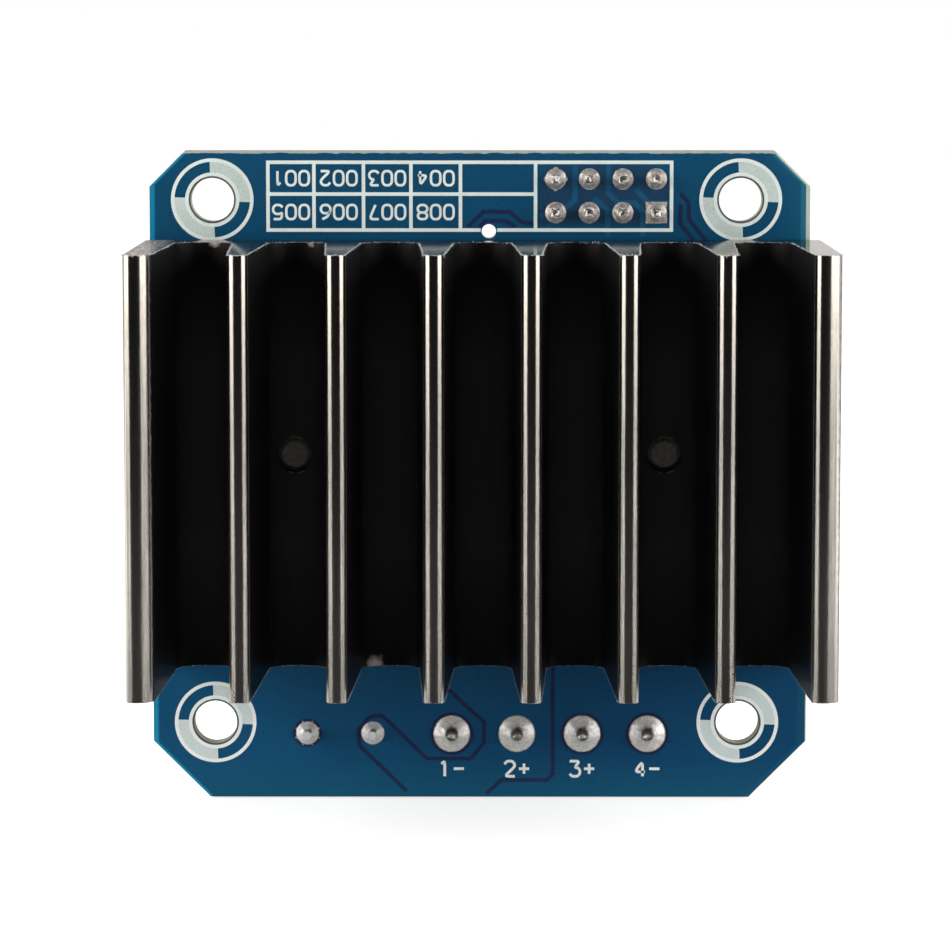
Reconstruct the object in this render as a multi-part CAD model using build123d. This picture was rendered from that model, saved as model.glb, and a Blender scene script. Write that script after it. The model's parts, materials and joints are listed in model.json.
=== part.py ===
from build123d import *
import math
import os

# The board stands upright: X to the right, Z up, as seen from the heatsink side. Its heatsink-side face
# lies in y = 0, the heatsink reaches towards -Y and the other parts stand on the far face, towards +Y.
# The origin is the centre of the four mounting holes, on the heatsink-side face. Lengths in millimetres.

# Circuit board
board_width = 50.0
board_height = 49.5
board_thick = 1.6
top_corner_cut = 2.7
bottom_corner_cut = 4.35
mount_hole = 3.3
mount_left_edge = 4.75
mount_right_edge = 5.25
mount_top_edge = 3.7
mount_bottom_edge = 5.8
tooling_hole = 1.1
tooling_x = 0.94
tooling_sink_gap = 0.63

# Heatsink, an extrusion along Z with fins of two widths; the right corner of an outer fin's tip is rounder
sink_width = 51.0
sink_top_margin = 6.73
sink_bottom_margin = 10.77
sink_height = 21.6
sink_base = 3.5
sink_centre_x = 0.5
inner_fins = 6
fin_pitch = 6.95
fin_tip = 1.4
fin_root = 2.7
outer_fin_tip = 1.95
outer_fin_root = 2.5
fin_tip_round = 0.6
outer_tip_round = 1.15
fin_root_round = 1.9
fillet_share = 0.45
base_corner_round = 0.3

# Thermal pad between board and heatsink
pad_thick = 0.3
pad_side_margin = 2.5
pad_end_margin = 2.0
pad_hole_margin = 0.2

# Screws through the board into the heatsink, with their washers
screw_thread = 2.5
screw_length = 6.0
screw_spacing = 27.8
screw_head = 5.0
screw_head_height = 2.1
screw_head_round = 0.9
screw_recess = 2.7
screw_recess_slot = 0.7
screw_recess_depth = 1.2
screw_recess_taper = 12.0
screw_point = 0.3
screw_hole_margin = 0.1
tapped_mouth = 0.1
flat_washer = 6.0
flat_washer_thick = 0.5
spring_washer = 5.1
spring_washer_thick = 0.6
spring_washer_slit = 0.4
spring_washer_slant = 25.0
washer_margin = 0.1

# Half-bridge chips, power packages with seven leads and a metal tab
bridge_width = 10.0
bridge_body = 9.25
bridge_height = 4.4
bridge_draft = 5.0
bridge_screw_gap = 0.3
tab_thick = 1.27
tab_reach = 1.3
tab_corner = 0.8
tab_inset = 0.2
bridge_lead_reach = 4.45
bridge_lead_count = 7
bridge_lead_pitch = 1.27
bridge_lead_width = 0.6
bridge_lead_thick = 0.5
bridge_lead_exit = 2.5
bridge_foot = 1.9
bridge_stub = 1.0

# Buffer chip, a wide small-outline package
buffer_length = 12.8
buffer_body = 7.5
buffer_height = 2.35
buffer_standoff = 0.15
buffer_draft = 8.0
buffer_x = -8.5
buffer_lead_pairs = 10
buffer_lead_pitch = 1.27
buffer_lead_width = 0.42
buffer_lead_thick = 0.26
buffer_lead_reach = 1.4
buffer_foot = 0.6
buffer_dimple = 1.2
buffer_dimple_depth = 0.15

# Pin header, two rows of four
header_x = 9.81
header_edge = 3.4
header_pitch = 2.54
header_columns = 4
header_rows = 2
header_base_height = 2.5
header_notch = 0.45
pin_side = 0.64
pin_tail = 2.6
pin_post = 6.0
pin_point = 0.45
pin_point_side = 0.3
pin_hole_margin = 0.1

# Screw terminal with four ways
way_count = 4
way_pitch = 5.0
terminal_x = 5.6
terminal_depth = 10.0
terminal_height = 13.8
terminal_front_height = 8.8
terminal_shoulder = 2.3
terminal_back_height = 11.4
terminal_back_step = 1.9
terminal_round = 0.4
contact_setback = 4.9
way_wall = 0.8
front_wall = 2.3
back_wall = 1.4
entry_width = 3.4
entry_funnel = 0.45
way_groove = 0.3

# Clamp screws and clamp cages of the terminal
clamp_thread = 2.5
clamp_fit = 0.05
clamp_travel = 2.5
clamp_head = 4.0
clamp_head_height = 1.9
clamp_head_sink = 0.5
clamp_head_fit = 0.1
clamp_head_edge = 0.25
clamp_slot = 0.6
clamp_slot_depth = 0.9
clamp_ledge = 0.8
cage_fit = 0.1
cage_wall = 0.6
cage_floor = 0.9
cage_top = 1.6
cage_depth = 4.8
cage_rise_gap = 0.2
strip_thick = 0.8
strip_fit = 0.1
strip_standoff = 0.6
strip_cage_gap = 0.3
strip_front_bite = 0.8
strip_bend = 0.7
strip_crease = 0.15
contact_width = 1.0
contact_tail = 2.25
contact_hole_margin = 0.1

# Electrolytic capacitor, standing
can_diameter = 10.0
can_height = 20.0
can_terminal_gap = 1.05
can_edge = 4.95
sleeve_thick = 0.15
sleeve_lap = 1.3
can_top_round = 0.7
can_bead_height = 3.3
can_bead_half = 0.8
can_bead_depth = 0.45
can_mouth = 0.4
bung_thick = 2.4
bung_standoff = 0.25
vent_groove = 0.25
vent_depth = 0.12
vent_reach = 2.6
can_lead = 0.6
can_lead_pitch = 5.0
can_lead_tail = 2.9
can_lead_hole_margin = 0.1

# Chip resistors and ceramic capacitors
chip_length = 2.0
chip_width = 1.25
chip_cap = 0.35
resistor_thick = 0.5
ceramic_thick = 1.1
chip_cap_lip = 0.03
resistor_columns = 6
resistor_rows = 2
resistor_pitch = 2.2
ceramic_pitch = 4.6

# Solder joints on the heatsink side
pin_joint = 1.6
pin_joint_height = 0.55
contact_joint = 2.8
contact_joint_height = 1.1
contact_joint_rim = 0.8
contact_joint_floor = 0.45
contact_joint_dimple = 0.2
can_joint = 1.75
can_joint_height = 0.85
joint_fullness = 0.45
can_joint_fullness = 0.65

# Places worked out from the sizes above
board_centre_x = (mount_right_edge - mount_left_edge) / 2
board_centre_z = (mount_top_edge - mount_bottom_edge) / 2
board_top = board_centre_z + board_height / 2
board_bottom = board_centre_z - board_height / 2
mount_half_x = (board_width - mount_left_edge - mount_right_edge) / 2
mount_half_z = (board_height - mount_top_edge - mount_bottom_edge) / 2
sink_high_z = board_top - sink_top_margin
sink_low_z = board_bottom + sink_bottom_margin
sink_centre_z = (sink_high_z + sink_low_z) / 2
tooling_z = sink_high_z + tooling_sink_gap
sink_face = -pad_thick
sink_floor = sink_face - sink_base
sink_tip = sink_face - sink_height
screw_places = [board_centre_x + side * screw_spacing / 2 for side in (-1, 1)]
flat_washer_top = board_thick + flat_washer_thick
spring_washer_top = flat_washer_top + spring_washer_thick
bridge_offset = (screw_spacing - flat_washer - bridge_width) / 2 - bridge_screw_gap
bridge_low_z = sink_centre_z - (tab_reach + bridge_body + bridge_lead_reach) / 2
bridge_body_low_z = bridge_low_z + tab_reach
bridge_body_high_z = bridge_body_low_z + bridge_body
bridge_high_z = bridge_body_high_z + bridge_lead_reach
buffer_z = (board_top + bridge_high_z) / 2
header_z = board_top - header_edge
header_low_z = header_z - header_rows * header_pitch / 2
header_places = [
    (header_x + (column - (header_columns - 1) / 2) * header_pitch,
     header_z + (row - (header_rows - 1) / 2) * header_pitch)
    for row in range(header_rows)
    for column in range(header_columns)
]
way_places = [terminal_x + (way - (way_count - 1) / 2) * way_pitch for way in range(way_count)]
terminal_width = way_count * way_pitch
terminal_front_z = board_bottom
contact_z = terminal_front_z + contact_setback
terminal_back_z = terminal_front_z + terminal_depth
terminal_top = board_thick + terminal_height
can_x = terminal_x - terminal_width / 2 - can_terminal_gap - can_diameter / 2
can_z = board_bottom + can_edge
can_lead_places = [can_x + side * can_lead_pitch / 2 for side in (-1, 1)]

# Heights inside one way of the terminal, from the screw head down to the contact strip
clamp_head_top = terminal_top - clamp_head_sink
clamp_head_low = clamp_head_top - clamp_head_height
chamber_top = clamp_head_low - clamp_ledge
cage_high = chamber_top - cage_rise_gap - clamp_travel
strip_top = cage_high - cage_top - strip_cage_gap
strip_low = strip_top - strip_thick
cage_window_low = strip_low - clamp_travel - cage_fit
cage_low = cage_window_low - cage_floor
chamber_half = (way_pitch - way_wall) / 2
chamber_front_z = terminal_front_z + front_wall
chamber_back_z = terminal_back_z - back_wall
cage_half = chamber_half - cage_fit
strip_half = cage_half - cage_wall - strip_fit


def block(x_low, x_high, y_low, y_high, z_low, z_high):
    """Rectangular block between six faces."""
    centre = Pos((x_low + x_high) / 2, (y_low + y_high) / 2, (z_low + z_high) / 2)
    return centre * Box(x_high - x_low, y_high - y_low, z_high - z_low)


def slab(outline, y_low, y_high):
    """Plate of an outline drawn in x and z, between two distances along Y."""
    return extrude(Plane.XZ.offset(-y_low) * outline, y_low - y_high)


def turned(outline, x, z):
    """Solid turned about a line along Y; the outline holds the radius and y."""
    return Pos(x, 0, z) * revolve(outline, Axis.Y)


def rod(diameter, x, z, y_low, y_high):
    """Round bar along Y."""
    return slab(Pos(x, z) * Circle(diameter / 2), y_low, y_high)


def washer(outer, inner, x, z, y_low, y_high):
    """Flat ring around a line along Y."""
    ring = Circle(outer / 2) - Circle(inner / 2)
    return slab(Pos(x, z) * ring, y_low, y_high)


def across(outline, x_low, x_high):
    """Bar along X of an outline drawn in z and y."""
    side_plane = Plane(origin=(x_high, 0, 0), x_dir=(0, 0, 1), z_dir=(-1, 0, 0))
    return extrude(side_plane * outline, x_high - x_low)


def polygon(*points):
    """Flat face of straight edges."""
    return make_face(Polyline(*points, close=True))


def circuit_board():
    """Board with cut corners and every drilled hole."""
    outline = Rectangle(board_width, board_height)
    corners = outline.vertices().group_by(Axis.Y)
    outline = chamfer(corners[-1], top_corner_cut)
    corners = outline.vertices().group_by(Axis.Y)
    outline = chamfer(corners[0], bottom_corner_cut)
    outline = Pos(board_centre_x, board_centre_z) * outline
    holes = [
        Pos(x, z) * Circle(mount_hole / 2)
        for x in (-mount_half_x, mount_half_x)
        for z in (-mount_half_z, mount_half_z)
    ]
    holes += [Pos(tooling_x, tooling_z) * Circle(tooling_hole / 2)]
    screw_hole = screw_thread / 2 + screw_hole_margin
    holes += [Pos(x, sink_centre_z) * Circle(screw_hole) for x in screw_places]
    pin_hole = pin_side / math.sqrt(2) + pin_hole_margin
    holes += [Pos(x, z) * Circle(pin_hole) for x, z in header_places]
    contact_hole = math.hypot(contact_width, strip_thick) / 2 + contact_hole_margin
    holes += [Pos(x, contact_z) * Circle(contact_hole) for x in way_places]
    lead_hole = can_lead / 2 + can_lead_hole_margin
    holes += [Pos(x, can_z) * Circle(lead_hole) for x in can_lead_places]
    return slab(outline - holes, 0, board_thick)


def heatsink():
    """Extrusion with a flat base, tapered fins with round tips, and two tapped holes."""
    half = sink_width / 2
    profile = Pos(0, (sink_face + sink_floor) / 2) * Rectangle(sink_width, sink_base)
    for index in range(inner_fins):
        centre = (index - (inner_fins - 1) / 2) * fin_pitch
        profile += polygon(
            (centre - fin_root / 2, sink_floor),
            (centre - fin_tip / 2, sink_tip),
            (centre + fin_tip / 2, sink_tip),
            (centre + fin_root / 2, sink_floor),
        )
    for side in (-1, 1):
        profile += polygon(
            (side * half, sink_floor),
            (side * half, sink_tip),
            (side * (half - outer_fin_tip), sink_tip),
            (side * (half - outer_fin_root), sink_floor),
        )
    tip_round = min(fin_tip_round, fillet_share * min(fin_tip, outer_fin_tip))
    right_corners = (outer_fin_tip - half, half)
    for is_right, size in ((False, tip_round), (True, min(outer_tip_round, outer_fin_tip - tip_round))):
        tips = profile.vertices().group_by(Axis.Y)[0]
        corners = [v for v in tips if (min(abs(v.X - x) for x in right_corners) < 0.001) == is_right]
        profile = fillet(corners, size)
    outer_channel = half - outer_fin_root - (inner_fins - 1) / 2 * fin_pitch - fin_root / 2
    root_round = min(fin_root_round, fillet_share * min(fin_pitch - fin_root, outer_channel))
    inside = [v for v in profile.vertices() if abs(v.Y - sink_floor) < 0.001 and abs(v.X) < half - 0.001]
    profile = fillet(inside, root_round)
    profile = fillet(profile.vertices().group_by(Axis.Y)[-1], base_corner_round)
    solid = Pos(sink_centre_x, 0, sink_low_z) * extrude(profile, sink_high_z - sink_low_z)
    for x in screw_places:
        hole = polygon(
            (0, sink_floor - root_round),
            (screw_thread / 2 + tapped_mouth, sink_floor - root_round),
            (screw_thread / 2 + tapped_mouth, sink_floor),
            (screw_thread / 2, sink_floor + tapped_mouth),
            (screw_thread / 2, sink_face),
            (0, sink_face),
        )
        solid -= turned(hole, x, sink_centre_z)
    return solid


def thermal_pad():
    """Soft sheet with a clearance hole at each screw."""
    pad_width = sink_width - 2 * pad_side_margin
    pad_length = sink_high_z - sink_low_z - 2 * pad_end_margin
    outline = Pos(sink_centre_x, sink_centre_z) * Rectangle(pad_width, pad_length)
    hole = screw_thread / 2 + pad_hole_margin
    outline -= [Pos(x, sink_centre_z) * Circle(hole) for x in screw_places]
    return slab(outline, sink_face, 0)


def heatsink_screws():
    """Pan-head screws with a cross recess, their ends short of the channel floor."""
    seat = spring_washer_top
    top = seat + screw_head_height
    end = seat - screw_length
    radius = screw_thread / 2
    outline = polygon(
        (0, end),
        (radius - screw_point, end),
        (radius, end + screw_point),
        (radius, seat),
        (screw_head / 2, seat),
        (screw_head / 2, top),
        (0, top),
    )
    crown = [v for v in outline.vertices() if v.X > radius + 0.001 and v.Y > seat + 0.001]
    outline = fillet(crown, screw_head_round)
    cross = Rectangle(screw_recess, screw_recess_slot) + Rectangle(screw_recess_slot, screw_recess)
    screws = []
    for x in screw_places:
        recess_plane = Plane(origin=(x, top, sink_centre_z), x_dir=(1, 0, 0), z_dir=(0, -1, 0))
        recess = extrude(recess_plane * cross, screw_recess_depth, taper=screw_recess_taper)
        screws.append(turned(outline, x, sink_centre_z) - recess)
    return screws


def flat_washers():
    """Plain washers on the far face of the board."""
    inner = screw_thread + 2 * washer_margin
    return [washer(flat_washer, inner, x, sink_centre_z, board_thick, flat_washer_top) for x in screw_places]


def spring_washers():
    """Split rings pressed flat under the screw heads."""
    inner = screw_thread + 2 * washer_margin
    rings = []
    for x in screw_places:
        ring = washer(spring_washer, inner, x, sink_centre_z, flat_washer_top, spring_washer_top)
        middle = (flat_washer_top + spring_washer_top) / 2
        slit_place = Pos(x, middle, sink_centre_z + spring_washer / 2) * Rot(0, 0, spring_washer_slant)
        slit = slit_place * Box(spring_washer_slit, 3 * spring_washer_thick, spring_washer)
        rings.append(ring - slit)
    return rings


def bridge_tab(x):
    """Metal tab of a half-bridge chip: a plate under the body that reaches out below it."""
    half = bridge_width / 2 - tab_inset
    body_inside = bridge_body_high_z - bridge_body / 4
    outline = polygon(
        (x - half, body_inside),
        (x - half, bridge_low_z + tab_corner),
        (x - half + tab_corner, bridge_low_z),
        (x + half - tab_corner, bridge_low_z),
        (x + half, bridge_low_z + tab_corner),
        (x + half, body_inside),
    )
    return slab(outline, board_thick, board_thick + tab_thick)


def bridge_body_solid(x):
    """Moulded body with drafted walls around its tab."""
    outline = Pos(x, (bridge_body_low_z + bridge_body_high_z) / 2) * Rectangle(bridge_width, bridge_body)
    lower = slab(outline, board_thick, board_thick + tab_thick)
    upper_plane = Plane.XZ.offset(-board_thick - tab_thick)
    upper = extrude(upper_plane * outline, tab_thick - bridge_height, taper=bridge_draft)
    return lower + upper - bridge_tab(x)


def gull_lead(x, width, thick, face_z, exit_y, foot_z, foot, away):
    """Bent lead from a body's face to its foot on the board; away is 1 towards +Z, -1 towards -Z."""
    foot_y = board_thick + thick / 2
    knee_z = face_z + away * thick
    heel_z = foot_z - away * foot
    bend = thick * 0.6
    path = FilletPolyline((face_z, exit_y), (knee_z + away * bend, exit_y),
                          (heel_z - away * bend / 2, foot_y), (foot_z, foot_y), radius=bend)
    return across(trace(path, thick), x - width / 2, x + width / 2)


def bridge_leads(x):
    """Six full leads and the middle one, which is cut short beside the body."""
    lean = (bridge_lead_exit + bridge_lead_thick / 2 - tab_thick) * math.tan(math.radians(bridge_draft))
    face_z = bridge_body_high_z - lean
    leads = []
    for index in range(bridge_lead_count):
        lead_x = x + (index - (bridge_lead_count - 1) / 2) * bridge_lead_pitch
        exit_y = board_thick + bridge_lead_exit
        if index == bridge_lead_count // 2:
            half_width = bridge_lead_width / 2
            half_thick = bridge_lead_thick / 2
            leads.append(block(lead_x - half_width, lead_x + half_width, exit_y - half_thick,
                               exit_y + half_thick, face_z, bridge_body_high_z + bridge_stub))
        else:
            leads.append(gull_lead(lead_x, bridge_lead_width, bridge_lead_thick, face_z, exit_y,
                                   bridge_high_z, bridge_foot, 1))
    return [lead - bridge_body_solid(x) for lead in leads]


def buffer_body_solid():
    """Moulded body that narrows above and below its leads, with a dimple at the first lead."""
    low = board_thick + buffer_standoff
    middle = low + buffer_height / 2
    outline = Pos(buffer_x, buffer_z) * Rectangle(buffer_length, buffer_body)
    middle_plane = Plane.XZ.offset(-middle)
    upper = extrude(middle_plane * outline, -buffer_height / 2, taper=buffer_draft)
    lower = extrude(middle_plane * outline, buffer_height / 2, taper=buffer_draft)
    dimple_x = buffer_x + buffer_length / 2 - buffer_dimple
    dimple_z = buffer_z + buffer_body / 2 - buffer_dimple
    top = middle + buffer_height / 2
    dimple = rod(buffer_dimple, dimple_x, dimple_z, top - buffer_dimple_depth, top)
    return upper + lower - dimple


def buffer_leads():
    """Two rows of bent leads at the middle height of the body."""
    exit_y = board_thick + buffer_standoff + buffer_height / 2
    body = buffer_body_solid()
    leads = []
    for away in (-1, 1):
        face_z = buffer_z + away * (buffer_body / 2 - buffer_lead_thick / 2)
        foot_z = buffer_z + away * (buffer_body / 2 + buffer_lead_reach)
        for index in range(buffer_lead_pairs):
            x = buffer_x + (index - (buffer_lead_pairs - 1) / 2) * buffer_lead_pitch
            lead = gull_lead(x, buffer_lead_width, buffer_lead_thick, face_z, exit_y,
                             foot_z, buffer_foot, away)
            leads.append(lead - body)
    return leads


def header_base():
    """Moulded strip with a notch between neighbouring columns."""
    outline = Sketch()
    for column in range(header_columns):
        cell = Rectangle(header_pitch, header_rows * header_pitch)
        cell = chamfer(cell.vertices(), header_notch)
        x = header_x + (column - (header_columns - 1) / 2) * header_pitch
        outline += Pos(x, header_z) * cell
    outline -= [Pos(x, z) * Rectangle(pin_side, pin_side) for x, z in header_places]
    return slab(outline, board_thick, board_thick + header_base_height)


def header_pins():
    """Square pins with tapered ends, through the strip and the board."""
    low = board_thick - pin_tail
    high = board_thick + header_base_height + pin_post
    pins = []
    for x, z in header_places:
        side = Pos(x, z) * Rectangle(pin_side, pin_side)
        point = Pos(x, z) * Rectangle(pin_point_side, pin_point_side)
        pin = slab(side, low + pin_point, high - pin_point)
        for end, neck in ((low, low + pin_point), (high, high - pin_point)):
            pin += loft([Plane.XZ.offset(-neck) * side, Plane.XZ.offset(-end) * point])
        pins.append(pin)
    return pins


def terminal_housing():
    """Moulded block with four chambers open below, wire entries in front and screw bores on top."""
    front = terminal_front_z
    back = terminal_back_z
    outline = polygon(
        (front, board_thick),
        (front, board_thick + terminal_front_height),
        (front + terminal_shoulder, terminal_top),
        (back - terminal_back_step, terminal_top),
        (back, board_thick + terminal_back_height),
        (back, board_thick),
    )
    rounded = [v for v in outline.vertices() if v.Y > board_thick + 0.001]
    outline = fillet(rounded, terminal_round)
    left = terminal_x - terminal_width / 2
    housing = across(outline, left, left + terminal_width)
    for x in way_places:
        housing -= block(x - chamber_half, x + chamber_half, board_thick, chamber_top,
                         chamber_front_z, chamber_back_z)
        housing -= wire_entry(x)
        housing -= block(x - strip_half - strip_fit, x + strip_half + strip_fit, strip_low, strip_top,
                         chamber_front_z - strip_front_bite, chamber_front_z)
        housing -= rod(clamp_head + 2 * clamp_head_fit, x, contact_z, clamp_head_low, terminal_top)
        housing -= rod(clamp_thread, x, contact_z, chamber_top, clamp_head_low)
    for way in range(1, way_count):
        edge = left + way * way_pitch
        housing -= block(edge - way_groove / 2, edge + way_groove / 2, terminal_top - way_groove,
                         terminal_top, front, back)
        housing -= block(edge - way_groove / 2, edge + way_groove / 2, board_thick,
                         board_thick + terminal_front_height, front, front + way_groove)
    return housing


def wire_entry(x):
    """Square way in for a wire, with a funnel at the front face."""
    half = entry_width / 2
    low = cage_window_low - cage_floor / 2
    high = strip_low
    passage = block(x - half, x + half, low, high, terminal_front_z, chamber_front_z)
    mid_y = (low + high) / 2
    mouth = Pos(x, mid_y) * Rectangle(entry_width + 2 * entry_funnel, high - low + 2 * entry_funnel)
    throat = Pos(x, mid_y) * Rectangle(entry_width, high - low)
    front = Plane.XY.offset(terminal_front_z)
    inside = Plane.XY.offset(terminal_front_z + entry_funnel)
    return passage + loft([front * mouth, inside * throat])


def terminal_pins():
    """Contact strips: a plate through the cage, bent down the back wall and forward to the solder tail."""
    strip_front_z = chamber_front_z - strip_front_bite
    strip_back_z = chamber_back_z - strip_fit
    floor_low = board_thick + strip_standoff
    floor_high = floor_low + strip_thick
    toe_z = contact_z - strip_thick
    outline = polygon(
        (strip_front_z, strip_top),
        (strip_back_z, strip_top),
        (strip_back_z, floor_low),
        (toe_z, floor_low),
        (toe_z, floor_high),
        (strip_back_z - strip_thick, floor_high),
        (strip_back_z - strip_thick, strip_low),
        (strip_front_z, strip_low),
    )
    outer = [v for v in outline.vertices() if abs(v.X - strip_back_z) < 0.001]
    outline = fillet(outer, strip_bend)
    inner = [v for v in outline.vertices() if abs(v.X - strip_back_z + strip_thick) < 0.001]
    outline = fillet(inner, strip_crease)
    strips = []
    for x in way_places:
        strip = across(outline, x - strip_half, x + strip_half)
        strip += block(x - contact_width / 2, x + contact_width / 2, board_thick - contact_tail, floor_high,
                       contact_z - strip_thick / 2, contact_z + strip_thick / 2)
        strips.append(strip)
    return strips


def terminal_cage(x):
    """Clamp cage: a closed loop around the contact strip, with the screw's hole in its top."""
    cage = block(x - cage_half, x + cage_half, cage_low, cage_high,
                 contact_z - cage_depth / 2, contact_z + cage_depth / 2)
    cage = fillet(cage.edges().filter_by(Axis.Z), cage_wall / 2)
    window = cage_half - cage_wall
    cage -= block(x - window, x + window, cage_window_low, cage_high - cage_top,
                  contact_z - cage_depth / 2, contact_z + cage_depth / 2)
    return cage - rod(clamp_thread, x, contact_z, cage_high - cage_top, cage_high)


def terminal_screw(x):
    """Captive clamp screw with a slotted head."""
    radius = clamp_thread / 2 - clamp_fit
    head = clamp_head / 2
    end = strip_top + strip_cage_gap - clamp_fit
    outline = polygon(
        (0, end),
        (radius - clamp_head_edge, end),
        (radius, end + clamp_head_edge),
        (radius, clamp_head_low),
        (head, clamp_head_low),
        (head, clamp_head_top - clamp_head_edge),
        (head - clamp_head_edge, clamp_head_top),
        (0, clamp_head_top),
    )
    slot = block(x - head, x + head, clamp_head_top - clamp_slot_depth, clamp_head_top,
                 contact_z - clamp_slot / 2, contact_z + clamp_slot / 2)
    return turned(outline, x, contact_z) - slot


def capacitor_wall(gap):
    """Outline of the can's wall from its mouth to its rounded top edge, gap millimetres outside it."""
    radius = can_diameter / 2 - sleeve_thick + gap
    bead = board_thick + can_bead_height
    top = board_thick + can_height - sleeve_thick + gap
    round_radius = can_top_round + gap
    slope = math.sqrt(0.5)
    wall = Polyline((radius, board_thick), (radius, bead - can_bead_half))
    wall += ThreePointArc((radius, bead - can_bead_half), (radius - can_bead_depth, bead),
                          (radius, bead + can_bead_half))
    wall += Line((radius, bead + can_bead_half), (radius, top - round_radius))
    wall += ThreePointArc(
        (radius, top - round_radius),
        (radius - round_radius * (1 - slope), top - round_radius * (1 - slope)),
        (radius - round_radius, top),
    )
    return wall, top


def capacitor_can():
    """Aluminium can with its bead, its mouth around the bung and a scored vent in its top."""
    wall, top = capacitor_wall(0)
    radius = can_diameter / 2 - sleeve_thick
    outline = make_face(wall + Polyline((radius - can_top_round, top), (0, top), (0, board_thick),
                                        (radius, board_thick)))
    can = turned(outline, can_x, can_z)
    bung_top = board_thick + bung_standoff + bung_thick
    can -= rod(2 * (radius - can_mouth), can_x, can_z, board_thick, bung_top)
    for turn in (0, 90):
        groove = Box(2 * vent_reach, 2 * vent_depth, vent_groove)
        can -= Pos(can_x, top, can_z) * Rot(0, turn, 0) * groove
    return can


def capacitor_sleeve():
    """Shrunk sleeve over the can's wall that laps over its top edge."""
    outer, top = capacitor_wall(sleeve_thick)
    inner, inner_top = capacitor_wall(0)
    lap = can_diameter / 2 - sleeve_thick - sleeve_lap
    wall_radius = can_diameter / 2 - sleeve_thick
    close = Line((wall_radius - can_top_round, top), (lap, top))
    close += Line((lap, top), (lap, inner_top))
    close += Line((lap, inner_top), (wall_radius - can_top_round, inner_top))
    foot = Line((wall_radius, board_thick), (wall_radius + sleeve_thick, board_thick))
    return turned(make_face(outer + close + inner + foot), can_x, can_z)


def capacitor_bung():
    """Rubber plug in the mouth of the can, with the two leads through it."""
    low = board_thick + bung_standoff
    radius = can_diameter / 2 - sleeve_thick - can_mouth
    bung = rod(2 * radius, can_x, can_z, low, low + bung_thick)
    for x in can_lead_places:
        bung -= rod(can_lead, x, can_z, low, low + bung_thick)
    return bung


def capacitor_leads():
    """Round wires from the inside of the can through the board."""
    top = board_thick + bung_standoff + bung_thick
    return [rod(can_lead, x, can_z, board_thick - can_lead_tail, top) for x in can_lead_places]


def chip_places():
    """Centres of the chip resistors, in rows below the header, and of the ceramics below the tabs."""
    resistor_gap = (header_low_z - bridge_high_z - resistor_rows * chip_length) / (resistor_rows + 1)
    first_z = header_low_z - resistor_gap - chip_length / 2
    resistors = [
        (header_x + (column - (resistor_columns - 1) / 2) * resistor_pitch,
         first_z - row * (chip_length + resistor_gap))
        for row in range(resistor_rows)
        for column in range(resistor_columns)
    ]
    ceramic_z = (bridge_low_z + terminal_back_z) / 2
    ceramics = [
        (board_centre_x + side * bridge_offset + place * ceramic_pitch / 2, ceramic_z)
        for side in (-1, 1)
        for place in (-1, 1)
    ]
    return resistors, ceramics


def chip_body(x, z, thick, upright):
    """Ceramic block between the metal ends of a chip part."""
    half_length = chip_length / 2 - chip_cap
    half_x, half_z = (chip_width / 2, half_length) if upright else (half_length, chip_width / 2)
    low, high = board_thick + chip_cap_lip, board_thick + thick
    return block(x - half_x, x + half_x, low, high, z - half_z, z + half_z)


def chip_ends(x, z, thick, upright):
    """Metal ends of a chip part, a little prouder than its body."""
    ends = []
    for side in (-1, 1):
        near = side * (chip_length / 2 - chip_cap)
        far = side * chip_length / 2
        low, high = min(near, far), max(near, far)
        half = chip_width / 2 + chip_cap_lip
        top = board_thick + thick + chip_cap_lip
        if upright:
            ends.append(block(x - half, x + half, board_thick, top, z + low, z + high))
        else:
            ends.append(block(x + low, x + high, board_thick, top, z - half, z + half))
    return ends


def solder_flank(base, top, height, fullness):
    """Curved flank of a joint, from its edge on the pad to its top: hollow below a fullness of a half, and
    bulging above it; all widths are diameters."""
    bulge = (top + (base - top) * fullness) / 2
    return ThreePointArc((base / 2, 0), (bulge, -height / 2), (top / 2, -height))


def pin_solder(base, pin_width, height, fullness, x, z):
    """Solder joint around a pin whose end stands out of it."""
    flank = solder_flank(base, pin_width, height, fullness)
    outline = make_face(Line((0, 0), (base / 2, 0)) + flank + Line((pin_width / 2, -height), (0, -height))
                        + Line((0, -height), (0, 0)))
    return turned(outline, x, z)


def header_solder():
    """Joints of the header pins."""
    pin_corners = pin_side * math.sqrt(2)
    return [pin_solder(pin_joint, pin_corners, pin_joint_height, joint_fullness, x, z) - pin
            for (x, z), pin in zip(header_places, header_pins())]


def terminal_solder():
    """Large joints that cover the ends of the contact tails, with a shallow dimple in the middle."""
    flank = solder_flank(contact_joint, contact_joint_rim, contact_joint_height, joint_fullness)
    rim = (contact_joint_rim / 2, -contact_joint_height)
    floor_y = contact_joint_dimple - contact_joint_height
    floor = Polyline(rim, (contact_joint_floor / 2, floor_y), (0, floor_y), (0, 0), (contact_joint / 2, 0))
    outline = make_face(flank + floor)
    return [turned(outline, x, contact_z) - strip for x, strip in zip(way_places, terminal_pins())]


def capacitor_solder():
    """Joints of the capacitor's leads."""
    return [pin_solder(can_joint, can_lead, can_joint_height, can_joint_fullness, x, can_z) - lead
            for x, lead in zip(can_lead_places, capacitor_leads())]


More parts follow.
